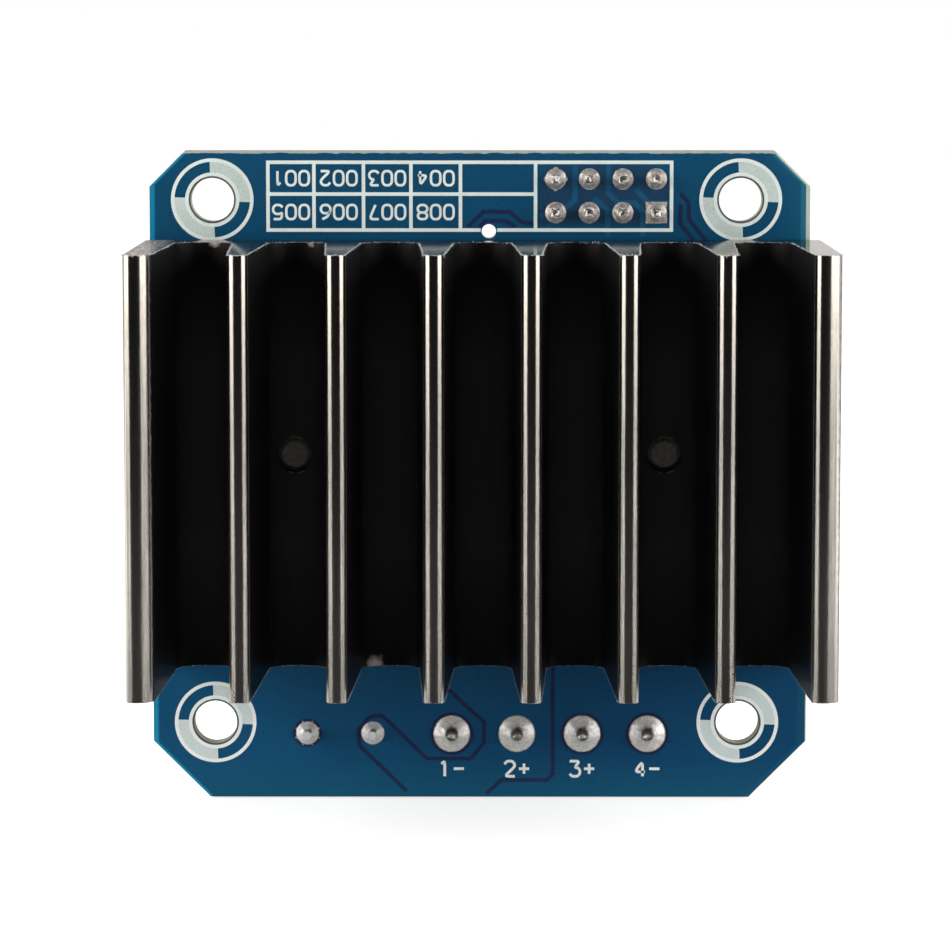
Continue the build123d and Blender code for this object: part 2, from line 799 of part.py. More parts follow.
def build_parts():
    """Every sub-part by its name; a list holds the separate solids of one node."""
    resistors, ceramics = chip_places()
    left = board_centre_x - bridge_offset
    right = board_centre_x + bridge_offset
    parts = {
        "circuit_board": circuit_board(),
        "heatsink": heatsink(),
        "thermal_pad": thermal_pad(),
        "heatsink_screws": heatsink_screws(),
        "flat_washers": flat_washers(),
        "spring_washers": spring_washers(),
        "left_bridge_body": bridge_body_solid(left),
        "left_bridge_tab": bridge_tab(left),
        "left_bridge_leads": bridge_leads(left),
        "right_bridge_body": bridge_body_solid(right),
        "right_bridge_tab": bridge_tab(right),
        "right_bridge_leads": bridge_leads(right),
        "buffer_body": buffer_body_solid(),
        "buffer_leads": buffer_leads(),
        "header_base": header_base(),
        "header_pins": header_pins(),
        "header_solder": header_solder(),
        "terminal_housing": terminal_housing(),
        "terminal_pins": terminal_pins(),
        "terminal_solder": terminal_solder(),
        "capacitor_can": capacitor_can(),
        "capacitor_sleeve": capacitor_sleeve(),
        "capacitor_bung": capacitor_bung(),
        "capacitor_leads": capacitor_leads(),
        "capacitor_solder": capacitor_solder(),
        "resistor_bodies": [chip_body(x, z, resistor_thick, True) for x, z in resistors],
        "resistor_ends": [end for x, z in resistors for end in chip_ends(x, z, resistor_thick, True)],
        "ceramic_bodies": [chip_body(x, z, ceramic_thick, False) for x, z in ceramics],
        "ceramic_ends": [end for x, z in ceramics for end in chip_ends(x, z, ceramic_thick, False)],
    }
    for number, x in enumerate(way_places, start=1):
        parts[f"terminal_screw_{number}"] = terminal_screw(x)
        parts[f"terminal_cage_{number}"] = terminal_cage(x)
    return parts


def main():
    os.makedirs("parts", exist_ok=True)
    for name, shape in build_parts().items():
        if isinstance(shape, list):
            shape = Compound(children=[solid for piece in shape for solid in piece.solids()])
        export_step(shape, os.path.join("parts", name + ".step"))


main()
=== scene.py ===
import json
import math
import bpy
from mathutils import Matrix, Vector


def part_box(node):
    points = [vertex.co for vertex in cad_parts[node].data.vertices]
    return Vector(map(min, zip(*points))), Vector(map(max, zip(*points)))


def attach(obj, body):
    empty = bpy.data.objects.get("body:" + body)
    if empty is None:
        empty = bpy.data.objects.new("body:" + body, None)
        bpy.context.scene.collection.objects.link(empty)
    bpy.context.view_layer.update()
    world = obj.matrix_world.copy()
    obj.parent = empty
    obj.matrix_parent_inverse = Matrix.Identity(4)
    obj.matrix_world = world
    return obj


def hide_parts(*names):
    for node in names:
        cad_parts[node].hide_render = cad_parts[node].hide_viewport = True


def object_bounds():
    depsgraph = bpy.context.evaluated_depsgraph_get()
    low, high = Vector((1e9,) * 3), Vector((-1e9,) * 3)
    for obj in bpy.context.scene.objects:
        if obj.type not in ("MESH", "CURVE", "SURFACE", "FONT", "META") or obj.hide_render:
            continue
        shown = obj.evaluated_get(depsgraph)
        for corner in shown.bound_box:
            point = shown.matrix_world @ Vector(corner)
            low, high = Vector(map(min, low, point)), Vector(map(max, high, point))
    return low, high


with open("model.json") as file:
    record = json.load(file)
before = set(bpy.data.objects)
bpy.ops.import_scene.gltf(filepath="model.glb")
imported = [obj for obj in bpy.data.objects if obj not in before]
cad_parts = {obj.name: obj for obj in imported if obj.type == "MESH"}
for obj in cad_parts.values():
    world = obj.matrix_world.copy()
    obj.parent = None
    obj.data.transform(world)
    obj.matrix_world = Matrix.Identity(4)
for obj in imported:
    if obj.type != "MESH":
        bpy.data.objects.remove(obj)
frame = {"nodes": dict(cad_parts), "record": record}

from types import SimpleNamespace

import bmesh
import bpy
from mathutils import Vector

cad_low, cad_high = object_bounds()

MM = 0.001

# Camera, fitted to the mounting holes, the joints and the fin tips of the photograph
CAMERA_LENS = 160.56
CAMERA_SENSOR = 36.0
CAMERA_DISTANCE = 322.9 * MM
CAMERA_ELEVATION = math.radians(6.07)
CAMERA_TURN = math.radians(0.194)
CAMERA_AIM = Vector((-0.11, 0, -0.95)) * MM

# Studio
SOFTBOX_SIDE = 0.70
SOFTBOX_DISTANCE = 0.60
SOFTBOX_TURN = math.radians(68)
LEFT_SOFTBOX_RADIANCE = 5.6
RIGHT_SOFTBOX_RADIANCE = 5.2
ROOM_LIGHT = 0.9
DARK_FRONT = 0.016
DARK_FROM = -0.35
WHITE_FROM = 0.25
FLOOR_SIDE = 3.0
FLOOR_DARK_FROM = -0.03
FLOOR_WHITE_FROM = 0.05
FLOOR_DROP = 0.05 * MM
FLOOR_GLOW = 0.62

# Etched and printed layers stand a hair proud of the laminate, each above the last
COPPER_GAP_HEIGHT = 0.008 * MM
TRACE_HEIGHT = 0.016 * MM
PRINT_HEIGHT = 0.024 * MM
PAD_HEIGHT = 0.03 * MM
LAYER_ROOT = 0.004 * MM
STROKE_LIFT = 0.0012 * MM
STROKE_LIFTS = 8
WELD = 0.0005 * MM

# Places and sizes taken from the frame, and the pitches of its rows
board_low, board_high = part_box("circuit_board")
sink_low, sink_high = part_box("heatsink")
contact_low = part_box("terminal_solder")[0]
lead_low, lead_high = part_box("capacitor_solder")
NEAR = board_low.y
FAR = board_high.y
SINK_FLOOR = sink_high.y - 3.5 * MM
TOP_CUT = 2.7 * MM
BOTTOM_CUT = 4.35 * MM
HEADER_PITCH = 2.54 * MM
HEADER_COLUMNS = 4
HEADER_ROWS = 2
WAY_PITCH = 5.0 * MM
WAYS = 4
BRIDGE_LEADS = 7
BUFFER_PAIRS = 10
LEAD_PITCH = 1.27 * MM
RESISTOR_COLUMNS = 6
RESISTOR_PITCH = 2.2 * MM
CHIP_LENGTH = 2.0 * MM
CERAMIC_PITCH = 4.6 * MM
TABS = ("left_bridge_tab", "right_bridge_tab")
MOUNT_SPACING = frame["record"]["mounts"][0]["dims"]["spacing_x_mm"] * MM


def centre_of(node):
    low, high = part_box(node)
    return (low + high) / 2


def row_of(middle, count, pitch):
    """Evenly spaced places on both sides of a middle."""
    return [middle + (index - (count - 1) / 2) * pitch for index in range(count)]


def header_places():
    middle = centre_of("header_solder")
    return [(x, z) for z in row_of(middle.z, HEADER_ROWS, HEADER_PITCH)
            for x in row_of(middle.x, HEADER_COLUMNS, HEADER_PITCH)]


def way_places():
    middle = centre_of("terminal_solder")
    return [(x, middle.z) for x in row_of(middle.x, WAYS, WAY_PITCH)]


def lead_places():
    middle = (lead_low + lead_high) / 2
    reach = (lead_high.x - lead_low.x - (lead_high.z - lead_low.z)) / 2
    return [(middle.x + side * reach, middle.z) for side in (-1, 1)]


def mount_places():
    half = MOUNT_SPACING / 2
    return [(x, z) for x in (-half, half) for z in (half, -half)]


def foot_places():
    """Ends of the half-bridge chips' feet on the far face; the middle lead has none."""
    return [(x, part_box(node)[1].z) for node in ("left_bridge_leads", "right_bridge_leads")
            for index, x in enumerate(row_of(centre_of(node).x, BRIDGE_LEADS, LEAD_PITCH))
            if index != BRIDGE_LEADS // 2]


def buffer_feet():
    """Ends of the buffer's feet on the far face, and the way each points, 1 for up."""
    low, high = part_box("buffer_leads")
    row = row_of((low.x + high.x) / 2, BUFFER_PAIRS, LEAD_PITCH)
    return [(x, z, way) for z, way in ((low.z, -1), (high.z, 1)) for x in row]


def resistor_places():
    low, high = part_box("resistor_ends")
    rows = (low.z + CHIP_LENGTH / 2, high.z - CHIP_LENGTH / 2)
    return [(x, z) for z in rows for x in row_of((low.x + high.x) / 2, RESISTOR_COLUMNS, RESISTOR_PITCH)]


def ceramic_places():
    z = centre_of("ceramic_bodies").z
    return [(x, z) for node in TABS for x in row_of(centre_of(node).x, 2, CERAMIC_PITCH)]


# Node helpers

def operation(name, swapped=False):
    """An operator of wires, which adds a Math node."""
    def act(wire, other):
        return wire.nodes.math(name, *((other, wire) if swapped else (wire, other)))
    return act


class Wire:
    """An output of a node. Sums, products and so on of wires and numbers become Math nodes."""

    __add__ = operation("ADD")
    __sub__ = operation("SUBTRACT")
    __rsub__ = operation("SUBTRACT", swapped=True)
    __mul__ = operation("MULTIPLY")
    __truediv__ = operation("DIVIDE")
    __rtruediv__ = operation("DIVIDE", swapped=True)
    __pow__ = operation("POWER")
    __lt__ = operation("LESS_THAN")

    def __init__(self, nodes, socket):
        self.nodes, self.socket = nodes, socket


class Nodes:
    """A node tree, with short ways to add and join its nodes."""

    def __init__(self, tree):
        self.tree = tree

    def feed(self, socket, wire):
        if isinstance(wire, Wire):
            self.tree.links.new(wire.socket, socket)
        else:
            socket.default_value = wire

    def make(self, kind, wires=(), **named):
        """A new node's outputs. Its sockets are fed in order from a list, by number from a dictionary, or by
        names with a capital at their start and _ in the place of a space. Other names are settings."""
        made = self.tree.nodes.new(kind)
        wires = dict(wires if isinstance(wires, dict) else enumerate(wires))
        for name, value in named.items():
            if name[0].islower():
                setattr(made, name, value)
            else:
                wires[name.replace("_", " ")] = value
        for key, wire in wires.items():
            self.feed(made.inputs[key], wire)
        return [Wire(self, socket) for socket in made.outputs]

    def node(self, kind, wires=(), key=0, **named):
        """One output of a new node, the first unless a key names another."""
        made = self.make(kind, wires, **named)
        return next(wire for index, wire in enumerate(made) if key in (index, wire.socket.name))

    def math(self, operation, *wires):
        return self.node("ShaderNodeMath", wires, operation=operation)

    def span(self, value, low, high, to_low=0.0, to_high=1.0):
        """value from low to high becomes to_low to to_high, clamped."""
        return self.node("ShaderNodeMapRange", (value, low, high, to_low, to_high))

    def fall(self, value, low, high):
        return self.span(value, low, high, 1.0, 0.0)

    def axes(self, vector):
        return self.make("ShaderNodeSeparateXYZ", [vector])

    def ray(self, kind):
        return self.node("ShaderNodeLightPath", key=f"Is {kind} Ray")


def linear(red, green, blue):
    """Linear colour of an sRGB colour given from 0 to 255."""
    def one(value):
        share = value / 255
        return share / 12.92 if share <= 0.04045 else ((share + 0.055) / 1.055) ** 2.4
    return (one(red), one(green), one(blue), 1.0)


class Finish(Nodes):
    """One procedural material. Its colours are sRGB triples from 0 to 255."""

    def __init__(self, name, **sockets):
        self.material = bpy.data.materials.new(name)
        self.material.use_nodes = True
        super().__init__(self.material.node_tree)
        self.place = self.node("ShaderNodeTexCoord", key="Object")
        self.set(**sockets)

    def set(self, **sockets):
        """Feeds the shader's sockets, each named with _ in the place of a space."""
        for socket, wire in sockets.items():
            self.feed(self.tree.nodes["Principled BSDF"].inputs[socket.replace("_", " ")], wire)
        return self

    def least(self, first, *others):
        for other in others:
            first = self.math("MINIMUM", first, other)
        return first

    def mix(self, share, first, second):
        """Number from first to second by share."""
        return self.span(share, 0, 1, first, second)

    def blend(self, share, first, second):
        """Colour from first to second by share."""
        first, second = [linear(*colour) if isinstance(colour, tuple) and len(colour) == 3 else colour
                         for colour in (first, second)]
        return self.node("ShaderNodeMix", {0: share, 6: first, 7: second}, 2, data_type="RGBA")

    def vary(self, grain, first, second, low=0.3, high=0.7):
        """From one number or colour to another over the usual range of a noise."""
        if isinstance(first, float):
            return self.span(grain, low, high, first, second)
        return self.blend(self.span(grain, low, high), first, second)

    def band(self, value, low, high, soft):
        """1 between low and high, with soft edges."""
        return self.span(value, low - soft, low + soft) * self.fall(value, high - soft, high + soft)

    def noise(self, size, stretch=(1, 1, 1), detail=3.0, roughness=0.5, seed=0.0):
        """Noise whose grains are about size metres, stretched along an axis by its factor."""
        scale = [1 / (size * factor) for factor in stretch]
        place = self.node("ShaderNodeMapping", Vector=self.place, Scale=scale,
                          Location=(seed, seed * 0.7, seed * 1.3))
        return self.node("ShaderNodeTexNoise", Vector=place, Scale=1.0, Detail=detail, Roughness=roughness)

    def near(self, point, radius, ragged):
        """1 around a point in metres, falling to 0 at the radius, with a ragged edge from a noise."""
        gap = self.node("ShaderNodeVectorMath", (self.place, Vector(point)), "Value", operation="DISTANCE")
        return self.fall(gap * self.vary(ragged, 0.8, 1.3), radius * 0.3, radius)

    def bump(self, height, distance, strength):
        self.set(Normal=self.node("ShaderNodeBump", Strength=strength, Distance=distance, Height=height))

    def below_sink(self):
        """1 on the strip of board below the heatsink, where mask and ink are painted paler to lift the shade
        the heatsink casts there, and 0 above it.
        """
        return self.fall(self.axes(self.place)[2], sink_low.z, sink_low.z + 4 * MM)

    def faces(self, which, low, high):
        """1 where the surface faces either way along an axis, with a soft change."""
        normal = self.axes(self.node("ShaderNodeNewGeometry", key="Normal"))[which]
        return self.span(self.math("ABSOLUTE", normal), low, high)


# Finishes

# Pale spots on the edges of the channel floors: x, z and radius in mm
PALE_SPOTS = [(-19.6, 17.0, 0.55), (-12.3, 17.0, 0.45), (-7.85, -14.9, 1.0)]
# The bare rim of the board is narrower at the cut corners
CHAMFER_STRETCH = 2.1 * math.sqrt(0.5)


def mask_finish(name, colour, deep):
    """Glossy solder mask over etched copper or bare laminate."""
    look = Finish(name, Specular_IOR_Level=0.35)
    fine = look.noise(0.35 * MM, detail=4, seed=3)
    look.bump(fine, 0.004 * MM, 0.5)
    return look.set(Base_Color=look.vary(look.noise(7 * MM, detail=2), colour, deep),
                    Roughness=look.vary(fine, 0.26, 0.4))


def board_finish(name):
    """Blue mask on both faces, thinner where the copper stops short of the edge, and glass-epoxy laminate
    on the edges and in the drilled holes."""
    look = Finish(name, Specular_IOR_Level=0.16)
    x, _, height = look.axes(look.place)
    below = look.below_sink()
    low, top = height - board_low.z, board_high.z - height

    def from_side(side):
        """Distance from a side of the board or from its cut corners."""
        cuts = [(side + end - cut) * CHAMFER_STRETCH for end, cut in ((top, TOP_CUT), (low, BOTTOM_CUT))]
        return look.least(side, *cuts)

    from_left, from_right = from_side(x - board_low.x), from_side(board_high.x - x)
    weave = look.noise(0.5 * MM, stretch=(1, 1, 3), detail=2, seed=21)
    mottle = look.noise(7 * MM, detail=2) * 0.8 + weave * 0.2
    upper = look.vary(mottle, (15, 74, 107), (11, 68, 99))
    # Below the heatsink the mask and its left rim are painted paler, more so towards the lower left and
    # along the bottom edge: painted light that lifts the shade the heatsink casts there.
    lower = look.blend(look.span(x, -14 * MM, 6 * MM), look.vary(mottle, (17, 82, 121), (14, 75, 112)),
                       look.vary(mottle, (13, 72, 111), (10, 66, 103)))
    lower = look.blend(look.fall(low, 0, 3.2 * MM), lower, (18, 84, 114))
    face = look.blend(below, upper, lower)
    rim = look.blend(below, (14, 128, 164), (18, 142, 178))
    face = look.blend(look.fall(from_left, 0.28 * MM, 0.46 * MM), face, rim)
    teal = look.span(from_right, 0.5 * MM, 2.4 * MM, look.mix(below, 0.35, 0.0), 0.0)
    face = look.blend(teal, face, (28, 96, 118))
    teal = look.span(from_right, 0.62 * MM, 0.78 * MM, look.mix(below, 0.8, 0.2), 0.0)
    face = look.blend(teal, face, (40, 106, 130))
    layers = look.noise(0.12 * MM, stretch=(6, 0.6, 6), detail=3, seed=5)
    chips = look.noise(0.5 * MM, stretch=(2, 1, 1), detail=3, seed=17)
    cream = look.mix(below, 0.3 * MM, 0.08 * MM)
    sanded = look.blend(layers, (186, 190, 184), (150, 156, 152))
    for distance, reach, colour in (
            (from_right, cream, (180, 190, 176)), (from_left, 0.05 * MM, (52, 88, 96)),
            (low, 0.07 * MM, (42, 66, 82)), (top, look.vary(chips, 0.13 * MM, 0.25 * MM), sanded)):
        face = look.blend(distance < reach, face, colour)
    edge = look.blend(layers, (196, 194, 180), (150, 146, 130))
    on_face = look.faces(1, 0.6, 0.8)
    fine = look.noise(0.35 * MM, detail=4, seed=3)
    look.bump(fine, 0.003 * MM, 0.4)
    return look.set(Base_Color=look.blend(on_face, edge, face),
                    Roughness=look.mix(on_face, 0.75, look.vary(fine, 0.26, 0.4)))


def print_finish(name, thin, thick, lower_thin, lower_thick):
    """White ink that covers unevenly: its thin and thick colours above the heatsink, and those below it,
    which are painted paler to lift the shade the heatsink casts there.
    """
    look = Finish(name, Roughness=0.6, Specular_IOR_Level=0.3)
    speckle = look.noise(0.16 * MM, detail=3)
    cover = speckle * 0.6 + look.noise(2.4 * MM, detail=2, seed=2) * 0.4
    look.bump(speckle, 0.006 * MM, 0.6)
    return look.set(Base_Color=look.blend(look.below_sink(), look.vary(cover, thin, thick, 0.35, 0.65),
                                          look.vary(cover, lower_thin, lower_thick, 0.35, 0.65)))


def heatsink_finish(name):
    """Black anodised extrusion, painted lighter deep in its channels: painted light that lifts their shade.
    Its fin tips are burnished, and
    painted paler towards their lower ends: a painted highlight. Its saw-cut ends are bare, rougher on the
    left outer fin, where they are painted darker and brown: a painted reflection; on the right outer fin
    they are paler. Pale spots mark the edges of the channel floors."""
    look = Finish(name, Specular_IOR_Level=0.3)
    x, depth, height = look.axes(look.place)
    lines = look.noise(0.10 * MM, stretch=(1, 1, 60), detail=4, seed=1)
    pits = look.noise(0.22 * MM, stretch=(0.7, 1, 3), detail=5, roughness=0.7, seed=8)
    ragged = look.noise(0.4 * MM, detail=4, seed=15)
    torn = look.noise(0.2 * MM, stretch=(1.2, 6, 1), detail=5, roughness=0.7, seed=12)
    scratches = look.span(look.noise(0.12 * MM, stretch=(1, 9, 1), detail=3, seed=31), 0.56, 0.68)

    wander = look.span(height, sink_low.z + 2 * MM, 0, 0.03 * MM, 0.1 * MM)
    edge = depth + look.vary(ragged, -1.0, 1.0) * wander
    tip = look.fall(edge, sink_low.y + 0.5 * MM, sink_low.y + 0.8 * MM)
    cut = look.faces(2, 0.7, 0.9)
    outer = cut * look.fall(x, sink_low.x + 1.4 * MM, sink_low.x + 2.6 * MM)
    worn = look.math("MAXIMUM", tip, cut)
    # Pale spots on the edges of the channel floors.
    pale_spots = 0.0
    for spot_x, spot_z, radius in PALE_SPOTS:
        spot = look.near((spot_x * MM, SINK_FLOOR, spot_z * MM), radius * MM, ragged)
        pale_spots = look.math("MAXIMUM", pale_spots, spot)
    from_ends = look.least(height - sink_low.z, sink_high.z - height)
    between = look.band(x, sink_low.x + 1.2 * MM, sink_high.x - 1.2 * MM, 0.4 * MM)
    # Where the channels are deep, away from their ends and the outer fins, the black is painted lighter:
    # painted light that lifts their shade.
    deep = look.span(depth, sink_low.y + 3 * MM, SINK_FLOOR - 3 * MM)
    deep = deep * look.span(from_ends, 0.5 * MM, 9 * MM) * between

    black = look.blend(deep, look.blend(lines, (14, 14, 14), (20, 19, 19)),
                       look.blend(lines, (60, 62, 62), (68, 69, 69)))
    bright_tip = look.vary(pits, (170, 164, 154), (158, 152, 143), 0.4, 0.62)
    # Towards their lower ends the burnished tips are painted paler: a painted highlight.
    tip_colour = look.blend(look.span(height, 12 * MM, sink_low.z + 10 * MM), bright_tip, (232, 226, 216))
    bare = look.vary(torn, (190, 191, 192), (118, 120, 124), 0.35, 0.65)
    # The sawn end of the left outer fin is painted darker and brown, a painted reflection; that of the right
    # outer fin is paler.
    bare = look.blend(look.fall(x, sink_low.x, sink_low.x + 3.6 * MM), bare, (134, 118, 100))
    bare = look.blend(look.span(x, sink_high.x - 3.6 * MM, sink_high.x), bare, (224, 220, 212))
    bare = look.blend(scratches, bare, (232, 232, 228))
    base = look.blend(worn, black, look.blend(tip, bare, tip_colour))

    dulled = look.math("MAXIMUM", scratches * cut * 0.4, outer * 0.8)
    dull_end = look.span(height, 4 * MM, sink_low.z + 5 * MM, 0, 0.055)
    rubbed_tip = look.span(lines, 0.2, 0.8, 0.13, 0.22) + dull_end
    cut_rough = look.span(torn, 0.2, 0.8, 0.05, look.mix(outer, 0.14, 0.7))
    look.bump(lines * look.mix(cut, look.mix(tip, 0.6, 0.2), 0.1), 0.008 * MM, 0.6)
    return look.set(Base_Color=look.blend(pale_spots * (1.0 - cut), base, (184, 174, 168)),
                    Specular_Tint=look.blend(outer, (0.4, 0.36, 0.32, 1), (0.16, 0.15, 0.14, 1)),
                    Metallic=worn - dulled,
                    Roughness=look.mix(cut, look.mix(tip, 0.42, rubbed_tip), cut_rough))


def bare_aluminium_finish(name):
    """Torn and scratched metal at the sawn edges."""
    look = Finish(name, Metallic=0.2)
    marks = look.noise(0.08 * MM, detail=3)
    look.bump(marks, 0.02 * MM, 0.8)
    return look.set(Base_Color=look.vary(marks, (214, 212, 208), (156, 154, 151)),
                    Roughness=look.vary(marks, 0.3, 0.5))


def solder_finish(name, bright, dull, low, high, frost=0.0, crown=None):
    """Tin with cooling wrinkles. Frost is the share of matt crystals in its skin. Within the crown, given by
    two depths and the joints' height, the skin turns smooth and is painted dark, a painted reflection of the
    dark room in front, a little more so on its upper side."""
    look = Finish(name, Metallic=1.0 - frost)
    lumps = look.noise(0.26 * MM, detail=5, roughness=0.62)
    grain = look.noise(0.06 * MM, detail=3, seed=4)
    specks = look.span(look.noise(0.1 * MM, detail=2, seed=9), 0.62, 0.7)
    colour = look.blend(specks * 0.6, look.vary(lumps, bright, dull, 0.35, 0.65), (112, 102, 94))
    rough = look.vary(grain, low, high)
    if crown is not None:
        start, end, middle = crown
        _, depth, height = look.axes(look.place)
        patchy = look.vary(look.noise(0.3 * MM, detail=3, seed=14), -0.08 * MM, 0.08 * MM)
        # Within the crown the skin turns smooth and fully metallic, and is painted dark, a painted
        # reflection of the dark room, reaching further on its upper side.
        smooth = look.fall(depth - (height - middle) * 0.3 + patchy, start, end)
        colour = look.blend(smooth, colour, (122, 118, 110))
        rough = look.mix(smooth, rough, 0.3)
        look.set(Metallic=look.mix(smooth, 1.0 - frost, 1.0))
    look.bump(lumps + grain * 0.35, 0.06 * MM, 0.9)
    return look.set(Base_Color=colour, Roughness=rough)


def metal_finish(name, bright, dull, low_rough, high_rough, metal=1.0, size=0.2, stretch=(1, 1, 1)):
    """Plated or bare metal with fine marks; metal is less than 1 where its skin is dull."""
    look = Finish(name, Metallic=metal)
    marks = look.noise(size * MM, stretch=stretch, detail=4)
    look.bump(marks, 0.004 * MM, 0.7)
    return look.set(Base_Color=look.vary(marks, bright, dull),
                    Roughness=look.vary(marks, low_rough, high_rough, 0.25, 0.75))


def pin_finish(name):
    """Gilt posts whose ends on the soldered side are tinned over, with painted glints of near-white matt
    tin.
    """
    look = Finish(name)
    # Painted glints on the tinned ends: near-white matt patches among darker metallic tin.
    painted_glints = look.span(look.noise(0.36 * MM, detail=0, seed=7), 0.46, 0.6)
    marks = look.noise(0.2 * MM, detail=4)
    tinned = look.fall(look.axes(look.place)[1], NEAR, FAR)
    tin = look.blend(painted_glints, (168, 158, 148), (255, 253, 250))
    look.bump(marks, 0.005 * MM, 0.7)
    return look.set(Base_Color=look.blend(tinned, look.vary(marks, (232, 196, 112), (205, 166, 88)), tin),
                    Metallic=look.mix(tinned, 1.0, look.mix(painted_glints, 0.9, 0.1)),
                    Roughness=look.vary(marks, 0.2, 0.34, 0.25, 0.75))


def plastic_finish(name, colour, other, rough, size=0.12):
    """Moulded plastic or ceramic with a fine spark-eroded texture."""
    look = Finish(name, Specular_IOR_Level=0.4)
    grain = look.noise(size * MM, detail=4)
    look.bump(grain, 0.006 * MM, 0.6)
    return look.set(Base_Color=look.vary(look.noise(2.5 * MM, detail=2, seed=6), colour, other),
                    Roughness=look.vary(grain, rough - 0.07, rough + 0.07))


# What each function is told for each of its finishes, after the name
FINISH_ROWS = {
    board_finish: {"board": ()},
    mask_finish: {
        "bare_mask": ((25, 42, 82), (23, 36, 72)),
        "field_mask": ((24, 62, 92), (22, 56, 84)),
        "trace_mask": ((20, 84, 118), (18, 76, 108)),
    },
    print_finish: {
        "print": ((182, 194, 188), (204, 214, 208), (200, 212, 211), (216, 226, 224)),
        "line_print": ((212, 222, 217), (228, 236, 231), (228, 236, 232), (246, 250, 246)),
    },
    heatsink_finish: {"black_aluminium": ()},
    bare_aluminium_finish: {"burr": ()},
    solder_finish: {
        "solder": ((208, 203, 196), (166, 160, 154), 0.26, 0.5),
        "pin_solder": ((236, 229, 221), (168, 155, 144), 0.26, 0.42, 0.3),
        "way_solder": ((255, 253, 247), (226, 220, 211), 0.24, 0.46, 0.6,
                       (contact_low.y + 0.1 * MM, contact_low.y + 0.36 * MM, way_places()[0][1])),
        "lead_solder": ((255, 253, 250), (232, 227, 220), 0.24, 0.46, 0.65,
                        (lead_low.y + 0.02 * MM, lead_low.y + 0.16 * MM, lead_places()[0][1])),
    },
    metal_finish: {
        "steel": ((196, 196, 192), (150, 150, 150), 0.22, 0.4),
        "tinned_copper": ((208, 205, 198), (176, 172, 166), 0.22, 0.38),
        "lead_tin": ((250, 248, 244), (226, 222, 216), 0.3, 0.5, 0.3),
        "screw_steel": ((196, 190, 180), (150, 144, 136), 0.26, 0.45, 0.4),
        "bright_aluminium": ((212, 212, 210), (184, 184, 182), 0.2, 0.36, 1.0, 0.12, (1, 30, 1)),
    },
    pin_finish: {"gilt_brass": ()},
    plastic_finish: {
        "hole_rim": ((82, 88, 84), (68, 74, 71), 0.6),
        "mould_compound": ((30, 31, 32), (24, 25, 26), 0.62),
        "black_plastic": ((22, 22, 22), (17, 17, 17), 0.42),
        "green_plastic": ((28, 112, 62), (24, 100, 54), 0.38),
        "black_sleeve": ((20, 20, 24), (15, 15, 18), 0.3, 0.6),
        "sleeve_stripe": ((168, 170, 172), (158, 160, 162), 0.34, 0.6),
        "rubber": ((26, 26, 26), (20, 20, 20), 0.8),
        "silicone_pad": ((176, 178, 180), (160, 163, 166), 0.7),
        "resistor_body": ((18, 18, 20), (13, 13, 15), 0.3),
        "ceramic_body": ((150, 116, 82), (136, 104, 74), 0.45),
    },
}
FINISHES = {name: kind(name, *row) for kind, rows in FINISH_ROWS.items() for name, row in rows.items()}

# Nodes whose finish isn't the one named after their slot in the record
NODE_FINISHES = {
    "heatsink_screws": "screw_steel", "header_solder": "pin_solder", "capacitor_leads": "lead_tin",
    "resistor_ends": "tinned_copper", "ceramic_ends": "tinned_copper",
}


def finish_nodes():
    """Gives every CAD node its finish."""
    for part in frame["record"]["subparts"]:
        look = FINISHES[NODE_FINISHES.get(part["node"]) or part["material_slot"]]
        materials = frame["nodes"][part["node"]].data.materials
        materials.clear()
        materials.append(look.material)


# Pieces

def new_object(name, data):
    made = bpy.data.objects.new(name, data)
    bpy.context.scene.collection.objects.link(made)
    return made


def new_mesh(name, mesh, material):
    """The data of a bmesh, which is used up."""
    data = bpy.data.meshes.new(name)
    mesh.to_mesh(data)
    mesh.free()
    data.materials.append(material)
    return data


def welded(data):
    """A bmesh of a mesh whose points that fall together are joined."""
    mesh = bmesh.new()
    mesh.from_mesh(data)
    bmesh.ops.remove_doubles(mesh, verts=mesh.verts, dist=WELD)
    return mesh


def piece_of(data, name, body="board", smooth=None):
    """A finished piece that rides on its body; smooth is the angle kept as an edge, in degrees."""
    if smooth is not None:
        data.shade_smooth()
        data.set_sharp_from_angle(angle=math.radians(smooth))
    piece = new_object(name, data)
    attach(piece, body)
    return piece


def piece_from(mesh, name, finish, smooth=None):
    bmesh.ops.recalc_face_normals(mesh, faces=mesh.faces)
    return piece_of(new_mesh(name, mesh, FINISHES[finish].material), name, smooth=smooth)


# Flat layers on the board: every stroke is a ribbon with mitred corners, closed all round

def arc(x, z, radius, start, end, steps):
    """Points on a circle; angles in degrees from +X towards +Z."""
    turns = [math.radians(start + (end - start) * step / steps) for step in range(steps + 1)]
    return [(x + radius * math.cos(turn), z + radius * math.sin(turn)) for turn in turns]


def circle(x, z, radius, steps=48):
    return arc(x, z, radius, 0, 360, steps)[:-1]


def offsets(points, width, closed):
    """Left and right edges of a ribbon along points."""
    count = len(points)
    left, right = [], []
    for index, point in enumerate(points):
        here = Vector(point)
        before = Vector(points[index - 1]) if closed or index else None
        after = Vector(points[(index + 1) % count]) if closed or index < count - 1 else None
        into = (here - before).normalized() if before is not None else None
        away = (after - here).normalized() if after is not None else into
        into = into if into is not None else away
        middle = (into + away).normalized()
        reach = Vector((-middle.y, middle.x)) * (width / 2 / max(0.4, middle.dot(away)))
        left.append(here + reach)
        right.append(here - reach)
    return left, right


